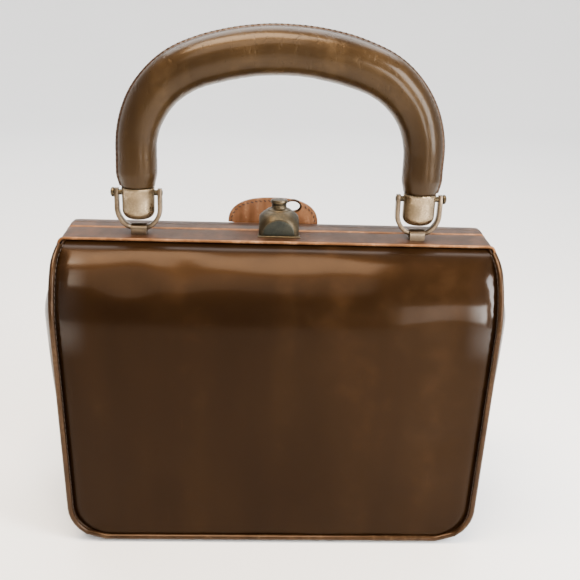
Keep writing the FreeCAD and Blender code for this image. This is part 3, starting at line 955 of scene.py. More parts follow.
    def gusset_rows(self, half: Half, inset: float) -> list[list[Vector]]:
        """Half of the band that runs down one side, under the base and up the other.

        Args:
            half: The half that it lies in.
            inset: How far inside the outer face.

        Returns:
            Rows of points from the panel's edge to the middle.
        """
        rows = []
        for x, z, depth, share in self.outline(inset):
            row = []
            away = math.copysign(1.0, x)
            split = 0.4 * MM if z > LAYOUT.pivot - 6 * MM else -0.5 * MM
            for j in range(self.gusset_steps + 1):
                t = j / self.gusset_steps
                y = depth * (1 - t) + split * t
                uneven = noise.noise(Vector((t * 3, z * 30, 3 + half.value))) * math.sin(math.pi * t)
                push = self.side_push(z, t) + self.gusset_ripple * uneven * share
                row.append(Vector((x + away * push, y * half.value, z)))
            rows.append(row)
        return rows

    def skin(self, name: str, rows: list[list[Vector]], finish: str, thickness: float,
             outward: float = -1.0) -> bpy.types.Object:
        """A sheet of leather with its thickness."""
        obj = Maker.net(name, rows, finish)
        return Maker.apply(obj, "SOLIDIFY", thickness=thickness, offset=outward, use_even_offset=True)

    def build_panels(self, half: Half) -> None:
        """Builds one panel with its shoulder, its lining and its half of the gusset band."""
        word = half.word
        panel = self.skin(word + "_body_skin", self.panel_rows(half, 0.0, True),
                          "body_leather", self.thickness)
        self.blend(panel)
        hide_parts(word + "_panel", word + "_shoulder")
        lining = self.skin(word + "_lining_skin", self.panel_rows(half, self.lining_inset, False),
                           "lining_suede", self.lining_cloth)
        self.blend(lining)
        band = self.skin(word + "_gusset_skin", self.gusset_rows(half, 0.0), "body_leather", self.thickness)
        self.blend(band)
        inner = self.skin(word + "_gusset_lining", self.gusset_rows(half, self.lining_inset),
                          "lining_suede", self.lining_cloth)
        self.blend(inner)
        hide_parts(word + "_left_gusset_wing", word + "_right_gusset_wing")
        if half is Half.FRONT:
            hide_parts("left_gusset", "right_gusset", "base_panel")
            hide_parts("lining")
        LOG.info("%s panel, gusset half and lining", word)

    def build_piping(self, half: Half) -> None:
        """Builds the welted cord round one panel, and the stitching beside it."""
        path = []
        for x, z, depth, _share in self.outline(0.0, 0.5 * MM):
            if z > LAYOUT.rail - 2.5 * MM:
                continue
            path.append(Vector((x, half.value * (depth + 0.3 * MM), z)))
        circle = oval(self.piping_radius, self.piping_radius, 12)
        cord = Maker.sweep(half.word + "_piping_cord", path, lambda _t: circle, "piping_leather", (0, 1, 0))
        self.blend(cord)
        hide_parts(half.word + "_piping")
        rim = [Vector((p.x * 0.984, p.y + half.value * 0.3 * MM, p.z))
               for p in path if p.z > LAYOUT.base + 4 * MM]
        for side in Side:
            run = [p for p in rim if p.x * side.value > 0]
            welt = Maker.stitches(f"{half.word}_{side.word}_welt_stitches", run,
                                  lambda _p: Vector((0, half.value, 0)), WELT_STITCH)
            self.blend(welt)
        LOG.info("%s piping", half.word)

    def build_pleats(self) -> None:
        """Builds the folded leather that closes the open mouth's sides."""
        for side in Side:
            for half in Half:
                rows = []
                tall, wide = self.pleat_steps
                for i in range(tall + 1):
                    z = LAYOUT.pivot - 4 * MM + (LAYOUT.rail - 1 * MM - LAYOUT.pivot) * i / tall
                    outer = self.edge_x(z, 0.0) + self.side_push(z, 1.0) - 1.0 * MM
                    inner = self.edge_x(z, 0.0) - self.pleat_in
                    row = []
                    for j in range(wide + 1):
                        t = j / wide
                        x = outer + (inner - outer) * t
                        fold = 0.5 - 0.15 * t + 2.0 * math.sin(math.pi * t)
                        row.append(Vector((side.value * x, half.value * fold * MM, z)))
                    rows.append(row)
                name = f"{half.word}_{side.word}_pleat_skin"
                pleat = self.skin(name, rows, "body_leather", 0.6 * MM, 0.0)
                x_in = side.value * (LAYOUT.half_width(LAYOUT.pivot) - self.pleat_in)
                x_out = side.value * (LAYOUT.half_width(LAYOUT.pivot) + 1 * MM)
                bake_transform(pleat)
                if half is Half.FRONT:
                    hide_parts(side.word + "_pleat")
        LOG.info("pleats")

    def build(self) -> None:
        """Builds every skin of the body."""
        for half in Half:
            self.build_panels(half)
            self.build_piping(half)
        self.build_pleats()


@dataclass
class RailCovers:
    """The leather sleeves round the two frame halves, with their cut edges and leg covers."""

    lip: float = 0.6 * MM
    crown: float = 2.0 * MM
    back_rise: float = 1.9 * MM
    end_drop: float = 7.0 * MM
    end_run: float = 3.5 * MM
    end_reach: float = 4.0 * MM
    leg_width: float = 9.0 * MM
    leg_thickness: float = 0.9 * MM
    leg_start: float = 5.6 * MM
    leg_round: float = 0.16

    def drop(self, x: float) -> float:
        """How far the rail bends down near its ends."""
        past = max(0.0, abs(x) - (LAYOUT.rail_half + self.end_reach - self.end_run))
        share = min(1.0, past / self.end_run)
        return self.end_drop * (1 - math.sqrt(1 - share ** 2))

    def stations(self) -> list[float]:
        """Places along the rail, closer together at its ends."""
        half = LAYOUT.rail_half + self.end_reach
        return [half * math.sin(math.pi / 2 * t / 48) for t in range(-48, 49)]

    def section(self, x: float, half: Half) -> list[tuple[float, float]]:
        """The sleeve's section, as depth from the split and height over the rail's front edge."""
        deep = LAYOUT.rail_depth
        rise = self.back_rise if half is Half.BACK else 0.0
        wave = 0.25 * MM * noise.noise(Vector((x * 40, 2.0, 0.0)))
        low = -5.0 * MM
        top = self.crown + wave
        return [(0.5 * MM, low), *in_mm([(0.5, -0.5), (0.75, -0.1), (1.6, 0.1)], top),
                (deep * 0.15, top + 0.1 * MM + rise * 0.5), (deep * 0.3, top - 0.1 * MM + rise * 0.85),
                (deep * 0.55, top - 0.5 * MM + rise), (deep * 0.8, top - 1.15 * MM + rise * 0.7),
                (deep - 1.0 * MM, top - 1.2 * MM + rise * 0.2), (deep - 0.2 * MM, top - 1.4 * MM),
                (deep, top - 1.8 * MM), (deep - 0.1 * MM, top - self.lip - 1.8 * MM),
                (deep - 1.6 * MM, top - self.lip - 2.0 * MM), (deep - 1.8 * MM, low)]

    def build_half(self, half: Half) -> None:
        """Builds one rail's sleeve, its two cut edges and its leg covers."""
        word = half.word
        rows = []
        front_edge = []
        split_edge = []
        for x in self.stations():
            base = LAYOUT.rail - self.drop(x)
            rows.append([Vector((x, half.value * y, base + z)) for y, z in self.section(x, half)])
            out = 0.2 * MM if half is Half.FRONT else -0.3 * MM
            front_edge.append(Vector((x, half.value * (LAYOUT.rail_depth + out), base + 0.5 * MM)))
            split_edge.append(Vector((x, half.value * 0.95 * MM, base + self.crown + 0.05 * MM)))
        cover = Maker.net(word + "_rail_sleeve", rows, "rail_leather", 40.0, closed=True, capped=True)
        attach(cover, half.body)
        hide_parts(word + "_rail_cover")
        edges = []
        for line, wide, high in ((front_edge, 0.45, 0.8), (split_edge, 0.6, 0.4)):
            bead = oval(high * MM, wide * MM, 8)
            edges.append(Maker.sweep("edge", line, lambda _t, bead=bead: bead, "cut_edge", (0, 0, 1)))
        edge = Maker.join(word + "_rail_cut_edges", edges)
        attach(edge, half.body)
        for side in Side:
            self.build_leg(half, side)
        LOG.info("%s rail", word)

    def build_leg(self, half: Half, side: Side) -> None:
        """Builds the leather strip that hides one frame leg on the gusset."""
        path = []
        top = LAYOUT.rail - self.end_drop - self.leg_start
        foot = LAYOUT.pivot + 0.5 * MM
        for i in range(25):
            t = i / 24
            z = top + (foot - top) * t
            x = LAYOUT.half_width(z) + BodySkins().side_push(z, 0.8) + 0.5 * MM
            path.append(Vector((side.value * x, half.value * (self.leg_width / 2 + 0.5 * MM), z)))

        def strip(t: float) -> list[tuple[float, float]]:
            """A flat strip whose ends are rounded."""
            past = max(0.0, 1 - min(t, 1 - t) / self.leg_round)
            close = math.sqrt(max(0.02, 1 - past ** 2))
            wide = self.leg_width / 2 * close
            thick = self.leg_thickness
            return [(thick, -wide * 0.9), (thick, wide * 0.9), (thick * 0.4, wide), (-thick, wide),
                    (-thick, -wide), (thick * 0.4, -wide)]

        name = f"{half.word}_{side.word}_leg_cover"
        leg = Maker.sweep(name, path, strip, "rail_leather", (side.value, 0, 0))
        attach(leg, half.body)
        if half is Half.FRONT:
            x = LAYOUT.half_width(LAYOUT.pivot) + BodySkins().side_push(LAYOUT.pivot, 0.9)
            dome = in_mm([(2.6, 0.0), (2.6, 2.2), (2.3, 2.8), (1.5, 3.3), (0.2, 3.5)])
            rivet = Maker.lathe(side.word + "_pivot_rivet", dome, (side.value * x, 0.0, LAYOUT.pivot),
                                "antique_brass", (side.value, 0, 0), 32)
            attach(rivet, "shell")

    def build(self) -> None:
        """Builds both halves."""
        for half in Half:
            self.build_half(half)


@dataclass
class Handle:
    """The rolled leather grip with its welt seam, and its ferrules, bails and pins."""

    leg_top: float = 50 * MM
    bend: float = 50 * MM
    apex: float = 105.5 * MM
    grip_foot: float = 28.2 * MM
    foot_radius: float = 9.6 * MM
    leg_radius: float = 11.2 * MM
    top_radius: float = 13.2 * MM
    seam_top: float = 0.10
    seam_foot: float = -0.30
    seam_half: float = 1.9 * MM
    steps: int = 150

    FERRULE_LIP = ((0.0, -2.2), (0.12, -1.9), (0.2, -0.9), (0.1, -0.2), (-0.5, 0.0), (-1.4, -0.3))

    def path(self) -> list[Vector]:
        """The grip's middle line from the left foot over the top to the right foot."""
        rail = LAYOUT.rail
        x0 = LAYOUT.handle_x
        y = LAYOUT.pin.y
        rise = self.apex - self.leg_top
        corner = x0 - self.bend
        radius = (corner ** 2 + rise ** 2 - self.bend ** 2) / (2 * (rise - self.bend))
        top_mid = Vector((0, y, rail + self.apex - radius))
        corner_mid = Vector((corner, y, rail + self.leg_top))
        turn = math.atan2(corner_mid.x, corner_mid.z - top_mid.z)
        lengths = (self.leg_top - self.grip_foot, self.bend * (math.pi / 2 - turn), radius * turn)
        total = sum(lengths)
        right = []
        for i in range(self.steps // 2 + 1):
            s = total * i / (self.steps // 2)
            if s < lengths[0]:
                right.append(Vector((x0, y, rail + self.grip_foot + s)))
            elif s < lengths[0] + lengths[1]:
                angle = (s - lengths[0]) / self.bend
                right.append(corner_mid + Vector((math.cos(angle), 0, math.sin(angle))) * self.bend)
            else:
                angle = turn - (s - lengths[0] - lengths[1]) / radius
                right.append(top_mid + Vector((math.sin(angle), 0, math.cos(angle))) * radius)
        left = [Vector((-p.x, p.y, p.z)) for p in right]
        return left + right[-2::-1]

    def radius(self, t: float) -> float:
        """The grip's radius at a share of its length."""
        near = min(t, 1 - t) * 2
        radius = self.foot_radius + (self.leg_radius - self.foot_radius) * smooth(0.0, 0.07, near)
        return radius + (self.top_radius - self.leg_radius) * smooth(0.12, 0.75, near)

    def spokes(self) -> list[tuple[Vector, Vector, float]]:
        """The grip's middle points with their outward direction and share of the length."""
        path = self.path()
        found = []
        for i, here in enumerate(path):
            along = (path[min(len(path) - 1, i + 1)] - path[max(0, i - 1)]).normalized()
            found.append((here, along.cross(Vector((0, 1, 0))).normalized(), i / (len(path) - 1)))
        if found[len(found) // 2][1].z < 0:
            found = [(here, -rise, t) for here, rise, t in found]
        return found

    def soft_radius(self, t: float, angle: float) -> float:
        """The grip's radius with its creases and soft places.

        Args:
            t: Share of the length.
            angle: Place round the section, from the outer side towards the back.

        Returns:
            The radius there.
        """
        fade = smooth(0.0, 0.03, min(t, 1 - t))
        inner = max(0.0, -math.cos(angle))
        crease = 0.22 * MM * inner * noise.noise(Vector((t * 95, math.sin(angle) * 0.8, 1.0)))
        soft = 0.28 * MM * noise.noise(Vector((t * 14, math.cos(angle), math.sin(angle))))
        return self.radius(t) + (crease + soft) * fade

    def seam(self, t: float) -> float:
        """The seam's place round the section."""
        return self.seam_foot + (self.seam_top - self.seam_foot) * smooth(0.1, 0.7, min(t, 1 - t) * 2)

    def build_grip(self) -> None:
        """Builds the grip, with soft creases, and its sewn welt."""
        back = Vector((0, 1, 0))
        spokes = self.spokes()
        rows = []
        for here, rise, t in spokes:
            row = []
            for k in range(56):
                angle = 2 * math.pi * k / 56
                r = self.soft_radius(t, angle)
                row.append(here + rise * r * math.cos(angle) + back * r * math.sin(angle))
            rows.append(row)
        grip = Maker.net("rolled_grip", rows, "handle_leather", 60.0, closed=True, capped=True)
        Maker.apply(grip, "SUBSURF", levels=1, render_levels=1)
        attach(grip, "handle")
        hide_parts("handle_grip")
        self.build_welt(spokes[1:-1])
        LOG.info("rolled grip")

    def build_welt(self, spokes: list[tuple[Vector, Vector, float]]) -> None:
        """Builds the dark strip where the grip's leather meets, and its two rows of thread.

        Args:
            spokes: The grip's middle points.
        """
        back = Vector((0, 1, 0))
        shape = ((-1.0, -0.25), (-0.92, 0.16), (-0.55, 0.34), (-0.24, 0.42), (-0.1, 0.75), (0.0, 0.85),
                 (0.1, 0.75), (0.24, 0.42), (0.55, 0.34), (0.92, 0.16), (1.0, -0.25), (0.0, -0.6))
        rows = []
        lines: dict[float, list[Vector]] = {-0.56: [], 0.56: []}
        outs = []
        for here, rise, t in spokes:
            row = []
            for across, height in shape:
                turn = self.seam(t) + across * self.seam_half / self.radius(t)
                lean = rise * math.cos(turn) + back * math.sin(turn)
                row.append(here + lean * (self.soft_radius(t, turn) + height * MM))
            rows.append(row)
            for across, line in lines.items():
                turn = self.seam(t) + across * self.seam_half / self.radius(t)
                lean = rise * math.cos(turn) + back * math.sin(turn)
                line.append(here + lean * (self.soft_radius(t, turn) + 0.36 * MM))
            outs.append(rise * math.cos(self.seam(t)) + back * math.sin(self.seam(t)))
        strip = Maker.net("grip_welt", rows, "welt_leather", 60.0, closed=True, capped=True)
        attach(strip, "handle")
        threads = []
        for line in lines.values():

            def outward(point: Vector, line: list[Vector] = line) -> Vector:
                """The direction out of the seam at a point."""
                return outs[min(range(len(line)), key=lambda i: (line[i] - point).length_squared)]

            threads.append(Maker.stitches("thread", line, outward, GRIP_STITCH))
        sewn = Maker.join("grip_stitches", threads)
        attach(sewn, "handle")

    def build_ferrules(self) -> None:
        """Builds the turned ferrules with their lips."""
        for side in Side:
            low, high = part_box(side.word + "_ferrule")
            radius = (high.x - low.x) / 2
            tall = high.z - low.z
            curve = 5.2 * MM
            profile = [(0.4 * MM, 0.0)]
            for i in range(1, 13):
                angle = math.pi / 2 * i / 12
                profile.append((radius - curve + curve * math.sin(angle), curve * (1 - math.cos(angle))))
            profile.append((radius, tall * 0.6))
            profile += [(radius + out * MM, tall + up * MM) for out, up in self.FERRULE_LIP]
            name = side.word
            foot = (side.value * LAYOUT.handle_x, LAYOUT.pin.y, low.z)
            cup = Maker.lathe(name + "_ferrule_cup", profile, foot, "antique_nickel", segments=72)
            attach(cup, "handle")
            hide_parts(name + "_ferrule")
        LOG.info("ferrules")

    def build_bails(self) -> None:
        """Builds the flat-strap bails with softened edges."""
        for side in Side:
            name = side.word
            low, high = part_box(name + "_bail")
            x = (low.x + high.x) / 2
            outer = (high.x - low.x) / 2
            thick = 2.5 * MM
            middle = outer - thick / 2
            deep = high.y - low.y
            bend_z = LAYOUT.bar.z + middle
            path = [Vector((x - middle, LAYOUT.pin.y, LAYOUT.pin.z + 2.4 * MM))]
            path += [Vector((x - middle, LAYOUT.pin.y, LAYOUT.pin.z - k * MM)) for k in (0.0, 3.0, 5.0)]
            for i in range(33):
                angle = math.pi + math.pi * i / 32
                spoke = Vector((math.cos(angle), 0, math.sin(angle)))
                path.append(Vector((x, LAYOUT.pin.y, bend_z)) + spoke * middle)
            path += [Vector((x + middle, LAYOUT.pin.y, LAYOUT.pin.z - k * MM)) for k in (5.0, 3.0, 0.0)]
            path.append(Vector((x + middle, LAYOUT.pin.y, LAYOUT.pin.z + 2.4 * MM)))

            def strap(t: float, thick: float = thick, deep: float = deep) -> list[tuple[float, float]]:
                """A flat strap, rounder at its foot and closed in at its tips."""
                near = min(t, 1 - t)
                tip = 0.62 + 0.38 * smooth(0.0, 0.035, near)
                wide = deep / 2 * tip - 0.6 * MM * (1 - smooth(0.09, 0.14, abs(t - 0.5)))
                flat = thick / 2
                soft = 0.55 * MM
                corner = [(wide, flat - soft), (wide - soft * 0.3, flat - soft * 0.3), (wide - soft, flat)]
                upper = corner + [(-a, b) for a, b in corner[::-1]]
                return upper + [(a, -b) for a, b in upper[::-1]]

            bail = Maker.sweep(name + "_bail_strap", path, strap, "bail_bronze", (0, 1, 0))
            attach(bail, "bails")
            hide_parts(name + "_bail")
            self.build_pin(side)
        LOG.info("bails and pins")

    def build_pin(self, side: Side) -> None:
        """Builds one handle pin with its dark domed head and peened end."""
        name = side.word
        low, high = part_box(name + "_handle_pin")
        profile = in_mm([(0.2, 0.0), (1.3, 0.15), (1.6, 0.5)])
        profile += in_mm([(1.6, -2.2), (2.7, -2.0), (2.8, -1.2), (2.3, -0.5), (1.2, -0.1), (0.1, 0.0)],
                         high.x - low.x)
        start = low.x if side is Side.RIGHT else high.x
        pin = Maker.lathe(name + "_pin_head", profile, (start, LAYOUT.pin.y, LAYOUT.pin.z), "antique_brass",
                          (side.value, 0, 0), 32)
        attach(pin, "handle")
        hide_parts(name + "_handle_pin")

    def build(self) -> None:
        """Builds the whole handle."""
        self.build_grip()
        self.build_ferrules()
        self.build_bails()


@dataclass
class Clasp:
    """The domed clasp: its housing, springs, neck and push stud."""

    facet_radius: float = 9.0 * MM
    facet_height: float = 8.6 * MM
    press: float = 2.4 * MM

    def build_housing(self) -> None:
        """Builds the housing with rounded edges and the dark worn facets on its flat sides."""
        shell = Maker.softened("domed_housing", "clasp_housing", "antique_brass", 0.7 * MM)
        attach(shell, "front_frame")
        low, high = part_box("clasp_housing")
        middle = (low + high) / 2
        half = (high.x - low.x) / 2
        facets = []
        for turn in (0.0, math.pi / 2, -math.pi / 2):
            ahead = Vector((math.sin(turn), -math.cos(turn), 0))
            aside = Vector((math.cos(turn), math.sin(turn), 0))
            rows = []
            for shrink, out in ((0.0, -0.3), (0.0, 0.05), (0.25, 0.16), (0.9, 0.2)):
                loop = []
                for k in range(33):
                    angle = math.pi * k / 32
                    across = (self.facet_radius - shrink * MM) * math.cos(angle)
                    rise = (self.facet_height - 2 * shrink * MM) * math.sin(angle) ** 0.8
                    loop.append(middle + ahead * (half + out * MM) + aside * across
                                + Vector((0, 0, low.z - middle.z + 0.25 * MM + shrink * MM + rise)))
                rows.append(loop)
            facets.append(Maker.net("facet", rows, "dark_patina", 40.0, closed=True, capped=True))
        plates = Maker.join("clasp_facets", facets)
        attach(plates, "front_frame")

    def build_spring(self, node: str) -> None:
        """Builds a coil copied from the frame's spring, carried by the front frame.

        Args:
            node: The frame's spring.
        """
        mesh = frame["nodes"][node].data
        coil = Maker.piece(node.replace("spring", "coil"), [v.co.copy() for v in mesh.vertices],
                           [list(p.vertices) for p in mesh.polygons], "spring_steel", 60.0)
        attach(coil, "front_frame")
        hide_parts(node)
        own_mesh(coil)

    def build(self) -> None:
        """Builds the housing, its springs and the turned pieces on top of it."""
        self.build_housing()
        self.build_spring("button_spring")
        self.build_spring("latch_spring")
        low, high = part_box("clasp_collar")
        centre = ((low.x + high.x) / 2, (low.y + high.y) / 2, low.z)
        foot = (high.x - low.x) / 2
        tall = high.z - low.z
        profile = [(3.6 * MM, -0.4 * MM), (foot, 0.0), (foot - 0.3 * MM, 0.35 * MM),
                   (foot - 1.0 * MM, 0.7 * MM), (4.7 * MM, 1.2 * MM), (4.45 * MM, 1.7 * MM)]
        profile += in_mm([(4.4, 0.0), (4.4, 1.2), (4.2, 1.4), (3.6, 1.4)], tall)
        collar = Maker.lathe("clasp_neck", profile, centre, "antique_brass", segments=64)
        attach(collar, "front_frame")
        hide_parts("clasp_collar")
        low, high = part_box("push_button")
        tall = high.z - low.z
        profile = in_mm([(0.2, 0.0), (3.5, 0.0)])
        profile += in_mm([(3.5, -0.5), (4.55, -0.5), (4.6, -2.1), (4.85, -2.15), (5.0, -1.9), (5.0, -0.7),
                          (4.7, -0.2), (4.0, 0.0), (2.0, 0.1), (0.2, 0.15)], tall)
        stud = Maker.lathe("push_stud", profile, (centre[0], centre[1], low.z), "antique_brass", segments=64)
        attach(stud, "button")
        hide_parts("push_button")
        LOG.info("clasp stud")


@dataclass
class RearTab:
    """The D-shaped stitched tab behind the rails."""

    edge: float = 0.5 * MM
    stitch_inset: float = 1.9 * MM
    stitch_lift: float = 1.15 * MM
    stitch_gap: float = 4 * MM
    fullness: float = 2.5
    root_rise: float = 2.0 * MM
    slot_half: tuple[float, float] = (4.5 * MM, 3.1 * MM)
    slot_clear: tuple[float, float] = (6.2, 4.6)
    slot_place: tuple[float, float] = (9.0 * MM, 12 * MM)
    neck_half: float = 6.6 * MM
    steps: int = 144

    NECK_LEVELS = ((0.0, 1.75), (1.2, 1.6), (2.6, 1.45), (5.5, 1.4), (6.2, 1.2))  # height and thickness in mm
    NECK_SHAPE = ((-1, -0.8), (-0.96, -1), (0.96, -1), (1, -0.8), (1, 0.8), (0.96, 1), (-0.96, 1), (-1, 0.8))

    def __post_init__(self) -> None:
        """Reads the tab's place and size from the frame."""
        low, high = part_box("pull_tab")
        self.half = (high.x - low.x) / 2
        self.x = (high.x + low.x) / 2
        self.y = LAYOUT.tab_axis.y
        self.root = LAYOUT.tab_axis.z + self.root_rise
        self.rise = high.z - self.root
        self.hole = Vector((self.slot_place[0], self.y, LAYOUT.rail + self.slot_place[1]))

    def arch(self, inset: float) -> list[Vector]:
        """Points along the arched edge."""
        points = []
        for i in range(65):
            angle = math.pi * i / 64
            across = math.copysign(abs(math.cos(angle)) ** (2 / self.fullness), math.cos(angle))
            tall = math.sin(angle) ** (2 / self.fullness)
            points.append(Vector((self.x - (self.half - inset) * across, self.y,
                                  self.root + (self.rise - inset) * tall)))
        return points

    def reach(self, ray: Vector) -> float:
        """How far the tab's edge is from the middle of its slot.

        Args:
            ray: The direction from the slot's middle.

        Returns:
            The distance to the edge.
        """
        limits = [0.0, 2 * self.half]
        for _ in range(30):
            far = sum(limits) / 2
            spot = self.hole + ray * far
            across, tall = abs(spot.x - self.x) / self.half, abs(spot.z - self.root) / self.rise
            limits[0 if across ** self.fullness + tall ** self.fullness < 1 else 1] = far
        return min(far, (self.root - self.hole.z) / ray.z) if ray.z < 0 else far

    def build_leaf(self, slot: list[Vector], rim: list[Vector]) -> None:
        """Builds the leaf with its slot, and the leather wrapped round its hinge.

        Args:
            slot: Points round the slot.
            rim: Points round the leaf's edge.
        """
        hole, edge = self.hole, self.edge
        loops = ((slot, edge, -1.1), (rim, -edge, -1.1), (rim, 0.0, -0.6), (rim, 0.0, 0.6), (rim, -edge, 1.1),
                 (slot, edge, 1.1), (slot, 0.0, 0.6), (slot, 0.0, -0.6))
        rows = []
        for loop, grow, out in loops:
            rows.append([p + (p - hole).normalized() * grow + Vector((0, out * MM, 0)) for p in loop])
        leaf = Maker.net("tab_leaf", rows, "tab_leather", 30.0, closed=True, ring=True)
        wide = self.neck_half
        roll = in_mm([(1.0, 0.0), (1.7, 0.1), (1.85, 0.4)])
        roll += in_mm([(1.85, -0.4), (1.7, -0.1), (1.0, 0.0)], 2 * wide)
        wrap = Maker.lathe("tab_wrap", roll, (self.x - wide, self.y, LAYOUT.tab_axis.z), "tab_leather",
                           (1, 0, 0), 32)
        tongue = []
        for height, thick in self.NECK_LEVELS:
            z = LAYOUT.tab_axis.z + height * MM
            tongue.append([Vector((self.x + a * wide, self.y + b * thick * MM, z))
                           for a, b in self.NECK_SHAPE])
        neck = Maker.net("tab_neck", tongue, "tab_leather", closed=True, capped=True)
        leaf = Maker.join("rear_tab_leaf", [leaf, wrap, neck])
        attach(leaf, "tab")
        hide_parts("pull_tab")

    def build_stitches(self) -> None:
        """Sews both faces along the arch, except where the slot is in the way."""
        hole = self.hole
        clear_x, clear_z = self.slot_clear
        rows = []
        for face in (-1, 1):
            line = [Vector((p.x, self.y + face * self.stitch_lift, p.z))
                    for p in self.arch(self.stitch_inset)]
            clear = [p for p in line
                     if ((p.x - hole.x) / clear_x) ** 2 + ((p.z - hole.z) / clear_z) ** 2 > MM ** 2]
            breaks = [i for i, (a, b) in enumerate(zip(clear, clear[1:])) if (b - a).length > self.stitch_gap]
            cut = breaks[0] + 1 if breaks else len(clear)
            for run in (clear[:cut], clear[cut:]):
                if len(run) > 1:
                    rows.append(Maker.stitches("row", run, lambda _p, face=face: Vector((0, face, 0)),
                                               TAB_STITCH))
        sewn = Maker.join("tab_stitches", rows)
        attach(sewn, "tab")

    def build(self) -> None:
        """Builds the leaf with its slot, its rim and its stitches."""
        slot = []
        rim = []
        for i in range(self.steps):
            angle = 2 * math.pi * i / self.steps
            ray = Vector((math.cos(angle), 0, math.sin(angle)))
            near = 1 / math.sqrt((ray.x / self.slot_half[0]) ** 2 + (ray.z / self.slot_half[1]) ** 2)
            slot.append(self.hole + ray * near)
            rim.append(self.hole + ray * self.reach(ray))
        self.build_leaf(slot, rim)
        rim_path = [self.hole + (p - self.hole) * 1.16 for p in slot[::3]]
        rim = Maker.sweep("tab_slot_rim", rim_path, lambda _t: oval(1.45 * MM, 0.85 * MM, 8),
                          "piping_leather", (0, 1, 0), closed=True)
        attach(rim, "tab")
        self.build_stitches()
        LOG.info("rear tab")


@dataclass
class Inside:
    """The soft lining floor and the pocket sewn to the back lining."""

    floor_half: tuple[float, float] = (100.0 * MM, 46.0 * MM)
    floor_height: float = 7.0 * MM
    cloth: float = 0.8 * MM
    fullness: float = 2.2 * MM
    hem: float = 5.0 * MM

    def sheet(self, name: str, corner: Callable[[float, float], Vector], count: tuple[int, int],
              outward: float) -> bpy.types.Object:
        """A lining sheet from a place for each pair of shares.

        Args:
            name: The piece's name.
            corner: Gives the point at two shares from 0 to 1.
            count: How many steps each way.
            outward: Which side the thickness is put on.

        Returns:
            The sheet.
        """
        across, along = count
        rows = [[corner(i / across, j / along) for i in range(across + 1)] for j in range(along + 1)]
        obj = Maker.net(name, rows, "lining_suede")
        Maker.apply(obj, "SOLIDIFY", thickness=self.cloth, offset=outward, use_even_offset=True)
        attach(obj, "shell")
        return obj

    def build_floor(self) -> None:
        """Lays the lining over the base board, a little raised in the middle."""
        across, deep = self.floor_half

        def point(u: float, v: float) -> Vector:
            """A place on the floor."""
            x, y = across * (2 * u - 1), deep * (2 * v - 1)
            rise = 0.7 * MM * math.sin(math.pi * u) * math.sin(math.pi * v)
            wrinkle = 0.25 * MM * noise.noise(Vector((x * 30, y * 30, 8)))
            return Vector((x, y, self.floor_height + rise + wrinkle))

        self.sheet("lining_floor", point, (40, 20), 0.0)

    def build_pocket(self) -> None:
        """Builds the pocket with its turned hem and the thread along its seams."""
        points = [v.co for v in frame["nodes"]["inner_pocket"].data.vertices]
        low = Vector([min(p[i] for p in points) for i in range(3)])
        high = Vector([max(p[i] for p in points) for i in range(3)])

        def point(u: float, v: float) -> Vector:
            """A place on the pocket's front."""
            z = low.z + (high.z - low.z) * v
            full = math.sin(math.pi * u) ** 0.7 * math.sin(math.pi * min(0.5, v * 0.75))
            hem = 0.5 * MM * smooth(high.z - self.hem - 0.6 * MM, high.z - self.hem, z)
            return Vector((low.x + (high.x - low.x) * u, low.y - self.fullness * full - hem, z))

        pocket = self.sheet("pocket_skin", point, (44, 36), 0.0)
        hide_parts("inner_pocket")
        seam = [point(0.02, 1 - k / 30) for k in range(30)]
        seam += [point(0.02 + 0.96 * k / 40, 0.03) for k in range(41)]
        seam += [point(0.98, (k + 1) / 30) for k in range(30)]
        lifted = [p - Vector((0, self.cloth / 2, 0)) for p in seam]
        thread = Maker.stitches("pocket_stitches", lifted, lambda _p: Vector((0, -1, 0)), POCKET_STITCH)
        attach(thread, "shell")

    def build(self) -> None:
        """Builds the floor and the pocket."""
        self.build_floor()
        self.build_pocket()
        LOG.info("lining floor and pocket")


@dataclass
class BareParts:
    """The CAD nodes that keep their own shape, each given its finish."""

    ROUNDED = {"left_bail_loop": "front_frame", "right_bail_loop": "front_frame", "catch_hook": "back_frame",
               "clasp_plate": "front_frame"}
    FINISH_OF = {"left_bail_loop": "bail_bronze", "right_bail_loop": "bail_bronze"}

    def build(self) -> None:
        """Dresses every CAD node by its slot in the record."""
        slots = {part["node"]: part["material_slot"] for part in frame["record"]["subparts"]}
        for name, obj in frame["nodes"].items():
            finish = self.FINISH_OF.get(name, slots[name])
            obj.data.materials.clear()
            obj.data.materials.append(FINISHES.get(finish))
        for name, body in self.ROUNDED.items():
            finish = self.FINISH_OF.get(name, slots[name])
            rounded = Maker.softened(name + "_rounded", name, finish, 0.5 * MM)
            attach(rounded, body)
        LOG.info("%d frame pieces dressed", len(slots))


